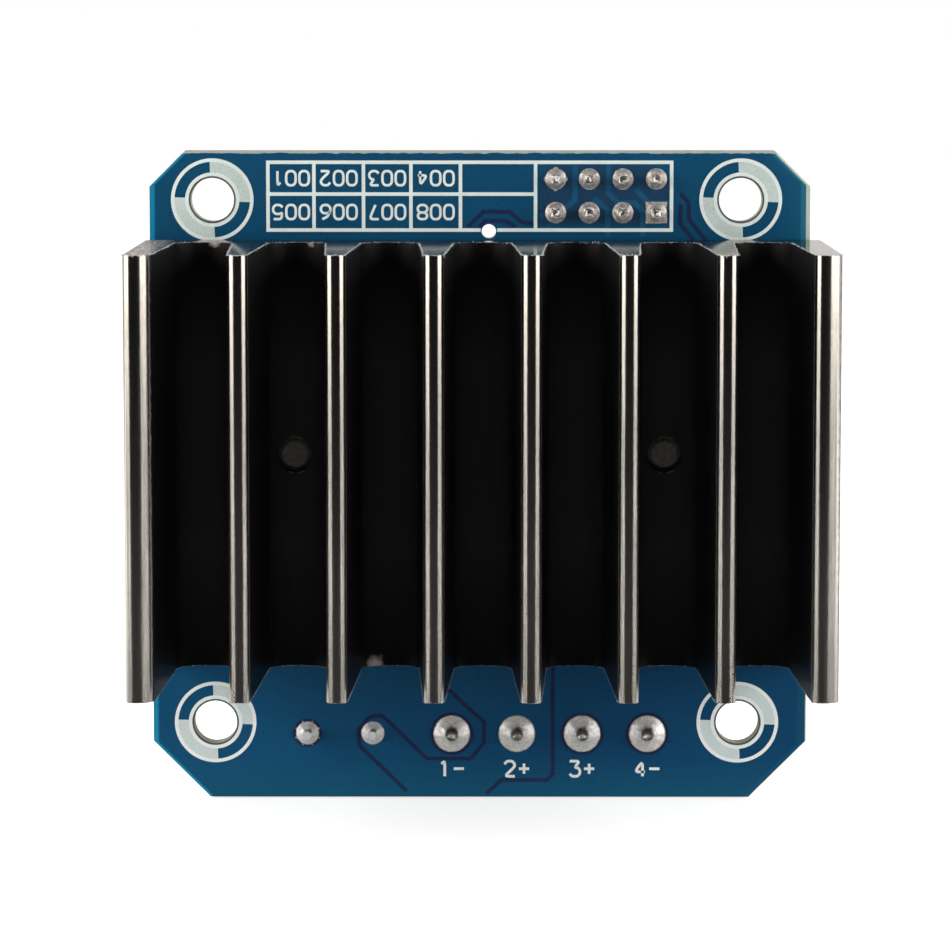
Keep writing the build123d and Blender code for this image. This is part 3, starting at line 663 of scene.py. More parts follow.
class Layer:
    """Flat pieces of one finish on one face of the board, kept in one mesh."""

    def __init__(self, name, finish, height, face=NEAR, outward=-1):
        self.name, self.finish = name, finish
        self.low, self.high = face - outward * LAYER_ROOT, face + outward * height
        self.outward = outward
        self.strokes = 0
        self.mesh = bmesh.new()

    def columns(self, *outlines):
        """Two points over each other for each point. Strokes that meet lie at heights a hair apart, so that
        no two faces fall together."""
        self.strokes += 1
        lift = self.outward * STROKE_LIFT * (self.strokes % STROKE_LIFTS)
        levels = (self.low - lift / 2, self.high + lift)
        return [[[self.mesh.verts.new((x, y, z)) for y in levels] for x, z in outline]
                for outline in outlines]

    def ribbon(self, points, width, closed=False):
        rows = list(zip(*self.columns(*offsets(points, width, closed))))
        face = self.mesh.faces.new
        for (left, right), (next_left, next_right) in zip(rows, rows[1:] + (rows[:1] if closed else [])):
            face((left[1], right[1], next_right[1], next_left[1]))
            face((left[0], next_left[0], next_right[0], right[0]))
            face((left[0], left[1], next_left[1], next_left[0]))
            face((right[0], next_right[0], next_right[1], right[1]))
        if not closed:
            for left, right in (rows[0], rows[-1]):
                face((left[0], right[0], right[1], left[1]))

    def ribbons(self, lines, width):
        for line in lines:
            self.ribbon(line, width)
        return self

    def plate(self, outline):
        columns = self.columns(outline)[0]
        self.mesh.faces.new([column[1] for column in columns])
        self.mesh.faces.new([column[0] for column in reversed(columns)])
        for now, after in zip(columns, columns[1:] + columns[:1]):
            self.mesh.faces.new((now[0], after[0], after[1], now[1]))

    def box(self, x, z, wide, high):
        corners = ((-1, -1), (1, -1), (1, 1), (-1, 1))
        self.plate([(x + across * wide / 2, z + up * high / 2) for across, up in corners])

    def discs(self, places, radius, steps=32):
        for x, z in places:
            self.plate(circle(x, z, radius, steps))

    def done(self):
        piece_from(self.mesh, self.name, self.finish)


# What repeats is made by Geometry Nodes

class Pattern(Nodes):
    """A Geometry Nodes tree with named sizes. It ends in realised instances with their finish set."""

    def __init__(self, name, **sizes):
        super().__init__(bpy.data.node_groups.new(name, "GeometryNodeTree"))
        self.keys = {}
        self.socket("Guide", "Geometry")
        self.socket("Shape", "Geometry", "OUTPUT")
        for size, value in sizes.items():
            self.socket(size, "Int" if isinstance(value, int) else "Float").default_value = value
        self.socket("finish", "Material")
        given = self.make("NodeGroupInput")
        self.given = SimpleNamespace(**{wire.socket.name: wire for wire in given if wire.socket.name})

    def socket(self, name, kind, in_out="INPUT"):
        made = self.tree.interface.new_socket(name, in_out=in_out, socket_type="NodeSocket" + kind)
        self.keys[name] = made.identifier
        return made

    def shape(self, kind, wires=(), **named):
        return self.node("GeometryNode" + kind, wires, **named)

    def stretched(self, vector, scale):
        return self.node("ShaderNodeVectorMath", Vector=vector, Scale=scale, operation="SCALE")

    def point(self, x, y, z):
        return self.node("ShaderNodeCombineXYZ", (x, y, z))

    def place(self):
        """x, y and z of each point."""
        return self.axes(self.shape("InputPosition"))

    def value(self, name):
        return self.shape("InputNamedAttribute", Name=name, data_type="FLOAT")

    def turned(self, shape, turn):
        return self.shape("Transform", Geometry=shape, Rotation=turn)

    def crinkle(self, shape, share):
        """Moves the surface in and out by up to half the given crinkle, times the share at each point."""
        given = self.given
        noise = self.node("ShaderNodeTexNoise", W=given.seed, Scale=1.0 / given.grain, Detail=2.0,
                          noise_dimensions="4D")
        push = self.stretched(self.shape("InputNormal"), (noise - 0.5) * given.crinkle * share)
        return self.shape("SetPosition", Geometry=shape, Offset=push)

    def repeat(self, unit, **wires):
        """The unit on every point of the guide, made real."""
        placed = self.shape("InstanceOnPoints", Points=self.given.Guide, Instance=unit, **wires)
        return self.shape("RealizeInstances", [placed])

    def close(self, shape):
        real = self.shape("RealizeInstances", [shape])
        finished = self.shape("SetMaterial", Geometry=real, Material=self.given.finish)
        self.make("NodeGroupOutput", [finished])
        return self

    def grow(self, name, guide, finish, body="board", smooth=40, **sizes):
        """The piece that the pattern makes of a guide: a plain mesh, closed and facing outwards."""
        piece = new_object(name, guide)
        modifier = piece.modifiers.new(name, "NODES")
        modifier.node_group = self.tree
        for size, value in dict(sizes, finish=FINISHES[finish].material).items():
            modifier[self.keys[size]] = value
        graph = bpy.context.evaluated_depsgraph_get()
        data = bpy.data.meshes.new_from_object(piece.evaluated_get(graph), depsgraph=graph)
        piece.modifiers.remove(modifier)
        bpy.data.objects.remove(piece)
        mesh = welded(data)
        bmesh.ops.recalc_face_normals(mesh, faces=mesh.faces)
        mesh.to_mesh(data)
        mesh.free()
        data.name = name
        for attribute in [a for a in data.attributes if a.name == "turn"]:
            data.attributes.remove(attribute)
        return piece_of(data, name, body, smooth)


def points_guide(name, points, turns=None):
    """A mesh of loose points, each with its turn about Y in radians."""
    guide = bpy.data.meshes.new(name)
    guide.from_pydata([tuple(point) for point in points], [], [])
    attribute = guide.attributes.new("turn", "FLOAT", "POINT")
    attribute.data.foreach_set("value", turns or [0.0] * len(points))
    return guide


def joint_pattern():
    """Turned solder joint: a hollow flank up to a flat or dimpled crown, crinkled as it froze."""
    made = Pattern("solder_joint", foot=0.8 * MM, top=0.4 * MM, height=0.5 * MM, hollow=1.3, dimple=0.0,
                   dimple_reach=0.5, crinkle=0.05 * MM, grain=0.3 * MM, seed=1)
    given = made.given
    grid = made.shape("MeshGrid", Size_X=1.0, Size_Y=1.0, Vertices_X=65, Vertices_Y=25)
    x, y, _ = made.place()
    angle, along = (x + 0.5) * math.tau, y + 0.5
    base, rise, crown = [made.span(along, *part) for part in ((0, 0.08), (0.08, 0.7), (0.7, 1.0))]
    fall = (1.0 - rise) ** given.hollow
    width = ((given.foot - given.top) * fall + given.top) * (1.0 - crown) * base
    level = rise * given.height - made.span(crown, 0, given.dimple_reach) * given.dimple
    turned = made.point(width * made.math("COSINE", angle), level * -1.0, width * made.math("SINE", angle))
    unit = made.shape("SetPosition", Geometry=grid, Position=turned)
    unit = made.shape("StoreNamedAttribute", Geometry=unit, Name="free", Value=made.span(rise, 0, 0.15),
                      data_type="FLOAT", domain="POINT")
    unit = made.shape("MergeByDistance", Geometry=unit, Distance=WELD)
    return made.close(made.crinkle(made.repeat(unit), made.value("free")))


def spoke_pattern():
    """Short copper bars round a joint, which tie its pad to the copper around it."""
    made = Pattern("thermal_spokes", count=4, inner=0.7 * MM, outer=1.1 * MM, width=0.3 * MM,
                   thick=0.05 * MM, swing=0.0)
    given = made.given
    ring = made.shape("MeshCircle", Vertices=given.count, Radius=(given.inner + given.outer) * 0.5)
    ring = made.turned(made.turned(ring, (math.pi / 2, 0, 0)), made.point(0, given.swing, 0))
    bar = made.shape("MeshCube", Size=made.point(given.outer - given.inner, given.thick, given.width))
    outward = made.node("FunctionNodeAlignRotationToVector", Vector=made.shape("InputPosition"), axis="X",
                        pivot_axis="Y")
    spokes = made.shape("InstanceOnPoints", Points=ring, Instance=bar, Rotation=outward)
    return made.close(made.repeat(spokes))


def fillet_pattern():
    """Solder that has run up against the end of a lead or chip and thins out over its pad."""
    made = Pattern("solder_fillet", width=0.6 * MM, length=0.6 * MM, height=0.3 * MM, crinkle=0.03 * MM,
                   grain=0.2 * MM, seed=1)
    given = made.given
    cube = made.shape("MeshCube", Size=made.point(given.width, given.height, given.length),
                      Vertices_X=9, Vertices_Y=2, Vertices_Z=9)
    x, y, z = made.place()
    far = z / given.length + 0.5
    side = made.math("ABSOLUTE", x * 2.0 / given.width)
    share = (1.0 - far) ** 1.8 * (1.0 - side ** 4.0) * 0.92 + 0.08
    shaped = made.point(x * made.span(far, 0.4, 1.0, 1.0, 0.8), (y + given.height * 0.5) * share,
                        z + given.length * 0.5)
    unit = made.shape("SetPosition", Geometry=cube, Position=shaped)
    real = made.repeat(unit, Rotation=made.point(0, made.value("turn"), 0))
    lifted = made.span(made.place()[1], FAR + 0.02 * MM, FAR + 0.1 * MM)
    return made.close(made.crinkle(real, lifted))


def via_pattern():
    """Plated hole under the mask: a low ring with a filled dimple."""
    made = Pattern("via", ring=0.36 * MM, hole=0.15 * MM, height=0.03 * MM)
    given = made.given
    half = (given.ring - given.hole) * 0.5
    path = made.shape("CurvePrimitiveCircle", Resolution=20, Radius=(given.ring + given.hole) * 0.5)
    section = made.shape("CurvePrimitiveCircle", Resolution=8, Radius=half)
    ring = made.turned(made.shape("CurveToMesh", Curve=path, Profile_Curve=section), (math.pi / 2, 0, 0))
    scale = made.point(1.0, given.height / half, 1.0)
    return made.close(made.repeat(made.shape("Transform", Geometry=ring, Scale=scale)))


def thread_pattern():
    """Screw thread: a ridge wound round a shank."""
    made = Pattern("screw_thread", radius=1.2 * MM, pitch=0.45 * MM, turns=9.5, ridge=0.045 * MM)
    given = made.given
    spiral = made.shape("CurveSpiral", Resolution=24, Rotations=given.turns, Start_Radius=given.radius,
                        End_Radius=given.radius, Height=given.pitch * given.turns)
    section = made.shape("CurvePrimitiveCircle", Resolution=4, Radius=given.ridge)
    ridge = made.shape("CurveToMesh", Curve=spiral, Profile_Curve=section, Fill_Caps=True)
    return made.close(made.repeat(made.turned(ridge, (-math.pi / 2, 0, 0))))


def burr_pattern():
    """Torn flakes of bare metal along a sawn edge."""
    made = Pattern("sawn_burrs", spacing=0.12 * MM, flake=0.08 * MM, share=0.5, seed=1)
    given = made.given

    def random(kind, wires, key=0):
        return made.node("FunctionNodeRandomValue", {**wires, "Seed": given.seed}, key, data_type=kind)

    line = made.shape("ResampleCurve", Curve=made.shape("MeshToCurve", [given.Guide]),
                      Length=given.spacing, mode="LENGTH")
    flake = made.shape("MeshCone", Vertices=4, Radius_Top=0.0, Radius_Bottom=0.5, Depth=1.0)
    chosen = random("BOOLEAN", {6: given.share}, 3)
    turn = random("FLOAT_VECTOR", {0: (0, 0, 0), 1: (math.tau, math.tau, math.tau)})
    size = made.stretched(random("FLOAT_VECTOR", {0: (0.3, 0.3, 0.5), 1: (1.0, 0.7, 2.2)}), given.flake)
    return made.close(made.shape("InstanceOnPoints", Points=line, Selection=chosen, Instance=flake,
                                 Rotation=turn, Scale=size))


# Figures drawn with one pen, on a grid four wide and six high; True marks a closed stroke

FIGURES = {
    "0": [([(1, 0), (3, 0), (4, 1.2), (4, 4.8), (3, 6), (1, 6), (0, 4.8), (0, 1.2)], True)],
    "1": [([(0.8, 4.9), (2.1, 6), (2.1, 0)], False)],
    "2": [([(0, 4.8), (1, 6), (3, 6), (4, 4.8), (3.8, 3.6), (0, 0), (4, 0)], False)],
    "3": [([(0, 6), (3.8, 6), (2, 3.5), (3.2, 3.4), (4, 2.4), (4, 1.1), (3, 0), (1, 0), (0, 1)], False)],
    "4": [([(3, 0), (3, 6), (0, 1.8), (4, 1.8)], False)],
    "5": [([(3.8, 6), (0.5, 6), (0.2, 3.3), (1.2, 3.8), (3, 3.8), (4, 2.7), (4, 1.1), (3, 0), (1, 0),
            (0, 1)], False)],
    "6": [([(3.4, 6), (1.2, 5), (0, 2.8), (0, 1.1), (1, 0), (3, 0), (4, 1.1), (4, 2.4), (3, 3.5), (1, 3.5),
            (0.1, 2.6)], False)],
    "7": [([(0, 6), (4, 6), (1.4, 0)], False)],
    "8": [([(1, 3.2), (0.1, 4), (0.1, 5.2), (1, 6), (3, 6), (3.9, 5.2), (3.9, 4), (3, 3.2)], True),
          ([(1, 3.2), (0, 2.3), (0, 1), (1, 0), (3, 0), (4, 1), (4, 2.3), (3, 3.2)], True)],
    "+": [([(0, 3), (4, 3)], False), ([(2, 1), (2, 5)], False)],
    "-": [([(0, 3), (4, 3)], False)],
}
FIGURE_WIDE = 4
FIGURE_HIGH = 6
FIGURE_STEP = 5.6


def rounded(points, closed):
    """Cuts each corner twice, which turns it into a small bend."""
    for _ in range(2):
        cut = []
        for a, b in zip(points, points[1:] + (points[:1] if closed else [])):
            a, b = Vector(a), Vector(b)
            cut += [tuple(a.lerp(b, 0.2)), tuple(a.lerp(b, 0.8))]
        points = cut if closed else [points[0]] + cut + [points[-1]]
    return points


def write(layer, text, x, z, height, pen, turn=1, mirror=1):
    """Figures centred on x, z; turn -1 stands them on their head, mirror -1 is for the far face."""
    scale = height / FIGURE_HIGH
    width = (FIGURE_STEP * (len(text) - 1) + FIGURE_WIDE) * scale
    for place, figure in enumerate(text):
        start = place * FIGURE_STEP * scale - width / 2
        for points, closed in FIGURES[figure]:
            placed = [(x + turn * mirror * (start + a * scale), z + turn * (b * scale - height / 2))
                      for a, b in rounded(points, closed)]
            layer.ribbon(placed, pen, closed)


# Near face: the print round the holes, the table and the figures

RING_INNER = (1.79 * MM, 2.06 * MM)
RING_OUTER = (2.86 * MM, 3.13 * MM)
RING_TILT = 4.0
TABLE_LINE = 0.27 * MM
TABLE_COLUMNS = [x * MM for x in (-15.78, -12.30, -8.55, -4.96, -1.21, 4.47)]
TABLE_RIGHT = 14.76 * MM
TABLE_TOP = 22.83 * MM
TABLE_MIDDLE = 20.43 * MM
TABLE_BOTTOM = 17.71 * MM
TOOLING_X = 0.94 * MM
TOOLING_CLEAR = 0.62 * MM
FIGURE_HEIGHT = 1.07 * MM
FIGURE_PEN = 0.19 * MM
LABEL_HEIGHT = 1.18 * MM
LABEL_PEN = 0.21 * MM
LABEL_DROP = 2.72 * MM
TABLE_TEXT = [["001", "002", "003", "004"], ["005", "006", "007", "008"]]
LABELS = ["1-", "2+", "3+", "4-"]


def ring_print(layer, lines, mirror=1):
    """Two rings round each mounting hole, joined by solid quarters at the upper right and the lower left."""
    middle = (RING_INNER[1] + RING_OUTER[0]) / 2
    width = RING_OUTER[0] - RING_INNER[1] + 0.02 * MM
    for x, z in mount_places():
        for inner, outer in (RING_INNER, RING_OUTER):
            lines.ribbon(circle(x, z, (inner + outer) / 2, 72), outer - inner, True)
        for start in (0, 180):
            first = start if mirror > 0 else start + 90
            layer.ribbon(arc(x, z, middle, first - RING_TILT, first + 90 + RING_TILT, 24), width)


def table_print(layer):
    """Frame of a two-row table whose right-hand field holds the header's joints. Its lowest line stops
    short of the tooling hole."""
    left, right = TABLE_COLUMNS[0], TABLE_RIGHT
    outline = [(TOOLING_X - TOOLING_CLEAR, TABLE_BOTTOM), (left, TABLE_BOTTOM), (left, TABLE_TOP),
               (right, TABLE_TOP), (right, TABLE_BOTTOM), (TOOLING_X + TOOLING_CLEAR, TABLE_BOTTOM)]
    layer.ribbons([outline, [(left, TABLE_MIDDLE), (TABLE_COLUMNS[-1], TABLE_MIDDLE)]]
                  + [[(x, TABLE_TOP), (x, TABLE_BOTTOM)] for x in TABLE_COLUMNS[1:]], TABLE_LINE)
    for row, (high, low) in enumerate(((TABLE_TOP, TABLE_MIDDLE), (TABLE_MIDDLE, TABLE_BOTTOM))):
        for column, text in enumerate(TABLE_TEXT[row]):
            x = (TABLE_COLUMNS[column] + TABLE_COLUMNS[column + 1]) / 2
            write(layer, text, x, (high + low) / 2, FIGURE_HEIGHT, FIGURE_PEN, turn=-1)


def near_print():
    layer = Layer("near_print", "print", PRINT_HEIGHT)
    lines = Layer("near_lines", "line_print", PRINT_HEIGHT + STROKE_LIFT / 2)
    ring_print(layer, lines)
    table_print(lines)
    for (x, z), text in zip(way_places(), LABELS):
        write(lines, text, x, z - LABEL_DROP, LABEL_HEIGHT, LABEL_PEN)
    layer.done()
    lines.done()


# Near face: gaps etched in the copper, traces, pads and joints; places in mm

GAP_WIDTH = 0.30 * MM
TRACE_WIDTH = 0.42 * MM
GAP_LINES = [
    [(-5.36, -25.38), (-8.98, -21.81), (-9.04, -20.65), (-8.35, -19.73), (-7.89, -19.52), (-7.20, -19.52),
     (-4.29, -22.37), (-3.80, -22.84), (-0.42, -22.83), (0.58, -21.59), (0.58, -19.99), (-1.27, -18.33),
     (-2.75, -16.78), (-2.75, -14.0)],
    [(5.85, -14.0), (5.85, -24.07), (5.39, -24.50), (1.89, -24.50), (0.78, -25.55)],
    [(15.43, 20.49), (16.07, 19.74), (16.07, 18.52), (17.36, 16.96), (17.36, 15.0)],
    [(15.44, 19.68), (15.44, 18.18), (16.38, 17.01), (16.38, 15.0)],
    [(-0.66, 17.93), (0.51, 19.09), (2.53, 19.09), (3.40, 18.32), (4.37, 18.22)],
    [(0.21, 17.93), (0.70, 18.41), (2.24, 18.41), (2.92, 17.93)],
]
HEADER_FIELD = [(4.75, 18.1), (4.75, 21.2), (5.6, 22.55), (13.2, 22.55), (14.5, 21.6), (14.5, 19.1),
                (13.4, 18.1)]
HEADER_TRACES = [
    [(7.47, 22.6), (7.47, 20.0), (6.6, 19.2)],
    [(8.9, 20.1), (9.95, 19.2), (9.95, 17.2)],
    [(10.0, 22.6), (10.0, 20.8)],
    [(9.85, 20.65), (10.7, 19.75), (12.0, 19.75), (12.6, 19.15), (12.6, 17.2)],
    [(12.1, 20.8), (13.0, 19.75), (14.6, 19.75)],
    [(4.8, 18.75), (6.07, 18.96)],
]
# Gap in the copper round a joint: middle radius and width; the second joint of the terminal has none
JOINT_GAP = (1.53 * MM, 0.24 * MM)
GAPPED_WAYS = (0, 2, 3)
LEAD_GAP = (1.0 * MM, 0.2 * MM)
HOLE_RIM = (1.72 * MM, 0.12 * MM)
HEADER_PAD = 0.81 * MM
WAY_PAD = 1.42 * MM
LEAD_PAD = 0.9 * MM


def scaled(points):
    return [(x * MM, z * MM) for x, z in points]


def near_copper():
    gaps = Layer("copper_gaps", "bare_mask", COPPER_GAP_HEIGHT).ribbons(map(scaled, GAP_LINES), GAP_WIDTH)
    for index in GAPPED_WAYS:
        gaps.ribbon(circle(*way_places()[index], JOINT_GAP[0]), JOINT_GAP[1], True)
    gaps.ribbon(circle(*lead_places()[0], LEAD_GAP[0]), LEAD_GAP[1], True)
    gaps.done()
    rims = Layer("hole_rims", "hole_rim", COPPER_GAP_HEIGHT)
    for x, z in mount_places():
        rims.ribbon(circle(x, z, HOLE_RIM[0], 64), HOLE_RIM[1], True)
    rims.done()
    field = Layer("header_field", "field_mask", COPPER_GAP_HEIGHT)
    field.plate(scaled(HEADER_FIELD))
    field.done()
    traces = Layer("header_traces", "trace_mask", TRACE_HEIGHT)
    traces.ribbons(map(scaled, HEADER_TRACES), TRACE_WIDTH).done()


def near_pads():
    """Tinned pads that show round the joints; the header's first pin has a square one."""
    layer = Layer("near_pads", "pin_solder", PAD_HEIGHT)
    layer.discs(header_places(), HEADER_PAD)
    layer.box(*header_places()[HEADER_COLUMNS - 1], 2 * HEADER_PAD, 2 * HEADER_PAD)
    layer.discs(way_places(), WAY_PAD, 40)
    layer.discs(lead_places(), LEAD_PAD)
    layer.done()


def solder_joints():
    """Crinkled joints of the header, the terminal and the capacitor, in the places of their plain solids."""
    joint = joint_pattern()
    for name, node, finish, places, sizes in (
        ("header_joints", "header_solder", "pin_solder", header_places(),
         dict(top=0.45 * MM, hollow=1.35, crinkle=0.05 * MM, grain=0.28 * MM, seed=3)),
        ("terminal_joints", "terminal_solder", "way_solder", way_places(),
         dict(top=0.4 * MM, hollow=1.7, dimple=0.24 * MM, dimple_reach=0.7, crinkle=0.18 * MM,
              grain=0.42 * MM, seed=5)),
        ("capacitor_joints", "capacitor_solder", "lead_solder", lead_places(),
         dict(top=0.2 * MM, hollow=0.95, crinkle=0.14 * MM, grain=0.3 * MM, seed=8)),
    ):
        low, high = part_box(node)
        reach = places[-1][0] - places[0][0]
        guide = points_guide(name, [(x, NEAR, z) for x, z in places])
        piece = joint.grow(name, guide, finish, smooth=60, foot=(high.x - low.x - reach) / 2,
                           height=high.y - low.y, **sizes)
        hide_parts(node)


def thermal_spokes():
    """Bars that tie the first joint of the header and of the capacitor to the copper round them."""
    spokes = spoke_pattern()
    x, z = header_places()[HEADER_COLUMNS]
    spokes.grow("header_spokes", points_guide("header_spokes", [(x, NEAR, z)]), "pin_solder",
                inner=0.76 * MM, outer=0.9 * MM, width=0.28 * MM)
    x, z = lead_places()[0]
    spokes.grow("capacitor_spokes", points_guide("capacitor_spokes", [(x, NEAR, z)]), "solder", count=8,
                inner=0.84 * MM, outer=1.02 * MM, width=0.16 * MM, swing=math.radians(22.5))


# The heatsink's sawn edges and screw holes

BASE_BEHIND = 0.5 * MM
TIPS_BEYOND = 14 * MM
HOLE_EDGE = 1.36 * MM
HOLE_MARKS = ((62, 118, 0.05), (248, 262, 0.06), (278, 300, 0.05))
WASHER_HALF = 3.0 * MM
THREAD_START = 0.35 * MM


def sawn_edges(level, depth):
    """The heatsink's outline at one end, without the part that lies behind a depth, as a mesh of edges."""
    mesh = welded(frame["nodes"]["heatsink"].data)
    points, edges = [], []
    for edge in mesh.edges:
        at_end = all(abs(v.co.z - level) < 0.01 * MM and v.co.y < depth for v in edge.verts)
        if at_end and any(abs(face.normal.z) < 0.5 for face in edge.link_faces):
            edges.append((len(points), len(points) + 1))
            points += [tuple(v.co) for v in edge.verts]
    mesh.free()
    guide = bpy.data.meshes.new("sawn_edges")
    guide.from_pydata(points, edges, [])
    mesh = welded(guide)
    mesh.to_mesh(guide)
    mesh.free()
    return guide


def heatsink_burrs():
    burrs = burr_pattern()
    for name, level, depth, spacing, flake, share, seed in (
            ("upper_burrs", sink_high.z, SINK_FLOOR + BASE_BEHIND, 0.09, 0.09, 0.55, 4),
            ("lower_burrs", sink_low.z, SINK_FLOOR + BASE_BEHIND, 0.08, 0.065, 0.6, 7),
            ("tip_burrs", sink_high.z, SINK_FLOOR - TIPS_BEYOND, 0.07, 0.12, 0.7, 9)):
        burrs.grow(name, sawn_edges(level, depth), "burr", smooth=None, spacing=spacing * MM,
                   flake=flake * MM, share=share, seed=seed)


def hole_marks():
    """Bare metal on the edges of the tapped holes."""
    layer = Layer("hole_marks", "burr", PAD_HEIGHT, SINK_FLOOR)
    z = centre_of("flat_washers").z
    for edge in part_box("flat_washers"):
        x = edge.x + math.copysign(WASHER_HALF, -edge.x)
        for start, end, width in HOLE_MARKS:
            layer.ribbon(arc(x, z, HOLE_EDGE, start, end, 10), width * MM)
    layer.done()


def clamp_threads():
    """A thread on the shank of each clamp screw."""
    thread = thread_pattern()
    for number in range(1, WAYS + 1):
        low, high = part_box(f"terminal_screw_{number}")
        middle = (low + high) / 2
        guide = points_guide("thread", [(middle.x, low.y + THREAD_START, middle.z)])
        thread.grow(f"clamp_thread_{number}", guide, "steel", body=f"clamp_screw_{number}")


# Far face: pads, fillets, traces, vias and print of the component side

FOOT_PAD = (0.85 * MM, 2.6 * MM)
FOOT_PAD_BACK = 0.75 * MM
BUFFER_PAD = (0.62 * MM, 1.5 * MM)
BUFFER_PAD_BACK = 0.25 * MM
CHIP_PAD = (1.5 * MM, 0.95 * MM)
CHIP_PAD_REACH = 0.45 * CHIP_LENGTH
CHIP_MARK = 1.4 * MM
TAB_MARGIN = 0.7 * MM
FAR_TRACE = 0.32 * MM
TRACE_RUN = 0.75 * CHIP_LENGTH
TRACE_UNDER = 0.5 * MM
TRACE_LEAST = 0.5 * MM
TRACE_STEP = 0.3 * MM
TRACE_SLANT = 0.45 * MM
VIA_DROP = 0.2 * MM
VIA_STEP = 1.5 * MM
VIA_COUNT = 5
FAR_LINE = 0.17 * MM
FAR_GAP = 0.35 * MM
FAR_FIGURE = 1.2 * MM
# Places of labels and marks: how far they stand out sideways from a part, and down from its end
BASE_LABEL = (1.1 * MM, 1.3 * MM)
BRIDGE_LABEL = (1.2 * MM, 1.0 * MM)
FIRST_LEAD_DOT = (0.95 * MM, 0.6 * MM)
DOT_RADIUS = 0.28 * MM
TERMINAL_LABEL = 1.35 * MM
CERAMIC_MARK = (0.6 * MM, 1.0 * MM)
# Print round the capacitor: hatching on its negative side, and the plus sign in shares of the radius
HATCH_COUNT = 5
HATCH_EDGE = 0.18 * MM
HATCH_STEP = 0.2 * MM
HATCH_ARC = (100, 175)
PLUS_PLACE = (0.92, 0.72)


def far_layer(name, finish, height):
    return Layer(name, finish, height, FAR, 1)


def chip_ends(places, upright, reach):
    """The two ends of each chip, at a reach from its middle, and the side of each."""
    return [(x, z + side * reach, side) if upright else (x + side * reach, z, side)
            for x, z in places for side in (-1, 1)]


def far_pads():
    layer = far_layer("far_pads", "solder", PAD_HEIGHT)
    for x, z in foot_places():
        layer.box(x, z - FOOT_PAD_BACK, *FOOT_PAD)
    for x, z, way in buffer_feet():
        layer.box(x, z - way * BUFFER_PAD_BACK, *BUFFER_PAD)
    for x, z, _ in chip_ends(resistor_places(), True, CHIP_PAD_REACH):
        layer.box(x, z, *CHIP_PAD)
    for x, z, _ in chip_ends(ceramic_places(), False, CHIP_PAD_REACH):
        layer.box(x, z, *reversed(CHIP_PAD))
    for node in TABS:
        low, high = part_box(node)
        left, right, bottom = low.x - TAB_MARGIN, high.x + TAB_MARGIN, low.z - TAB_MARGIN
        layer.plate([(left, bottom), (right, bottom), (right, high.z), (left, high.z)])
    layer.discs(header_places(), HEADER_PAD)
    layer.done()


def far_fillets():
    """Solder at the toes of the leads, the ends of the chips and along the tabs."""
    fillet = fillet_pattern()
    toe = 0.02 * MM
    resistor_ends = chip_ends(resistor_places(), True, CHIP_LENGTH / 2 - toe / 2)
    ceramic_ends = chip_ends(ceramic_places(), False, CHIP_LENGTH / 2 - toe / 2)
    tabs = [(centre_of(node).x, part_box(node)[0].z + toe, 180) for node in TABS]
    for name, places, width, length, height, grain, seed in (
            ("bridge_fillets", [(x, z - toe, 0) for x, z in foot_places()], 0.74, 0.5, 0.34, 0.2, 2),
            ("buffer_fillets", [(x, z - way * toe, 90 - way * 90) for x, z, way in buffer_feet()],
             0.5, 0.42, 0.2, 0.2, 3),
            ("resistor_fillets", [(x, z, 90 - side * 90) for x, z, side in resistor_ends],
             1.3, 0.36, 0.4, 0.2, 4),
            ("ceramic_fillets", [(x, z, side * 90) for x, z, side in ceramic_ends], 1.3, 0.38, 0.7, 0.2, 5),
            ("tab_fillets", tabs, 7.8, 0.66, 0.6, 0.5, 6)):
        guide = points_guide(name, [(x, FAR, z) for x, z, _ in places],
                             [math.radians(turn) for _, _, turn in places])
        fillet.grow(name, guide, "solder", smooth=50, width=width * MM, length=length * MM,
                    height=height * MM, grain=grain * MM, seed=seed)


def far_trace_lines():
    """Traces of the component side, each from a pad to the next part or to a via; also the vias' places."""
    lines, vias = [], []
    header_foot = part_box("header_base")[0].z
    for index, (x, z) in enumerate(resistor_places()):
        if index >= RESISTOR_COLUMNS:
            lines.append([(x, z), (x, header_foot + TRACE_UNDER)])
        else:
            end = z - TRACE_RUN
            lines.append([(x, z + CHIP_LENGTH), (x, end)])
            vias.append((x, end - VIA_DROP))
    for index, (x, z, way) in enumerate(buffer_feet()):
        reach = TRACE_LEAST + TRACE_STEP * (index % 3)
        end = (x + (TRACE_SLANT if index % 2 else -TRACE_SLANT), z + way * (reach + TRACE_SLANT))
        lines.append([(x, z), (x, z + way * reach), end])
        vias.append(end)
    return lines, vias


def far_copper():
    lines, vias = far_trace_lines()
    far_layer("far_traces", "trace_mask", TRACE_HEIGHT).ribbons(lines, FAR_TRACE).done()
    for node in TABS:
        low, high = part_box(node)
        for x in (low.x - VIA_STEP, high.x + VIA_STEP):
            vias += [(x, z) for z in row_of((low.z + high.z) / 2, VIA_COUNT, VIA_STEP)]
    via_pattern().grow("vias", points_guide("vias", [(x, FAR, z) for x, z in vias]), "trace_mask")


def frame_print(layer, node, sides):
    """Lines round a part's outline on the board, on the given sides."""
    low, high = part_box(node)
    left, right, top = low.x - FAR_GAP, high.x + FAR_GAP, high.z + FAR_GAP
    bottom = max(low.z - FAR_GAP, board_low.z)
    ends = {"l": ((left, bottom), (left, top)), "r": ((right, bottom), (right, top)),
            "t": ((left, top), (right, top)), "b": ((left, bottom), (right, bottom))}
    layer.ribbons([ends[side] for side in sides], FAR_LINE)


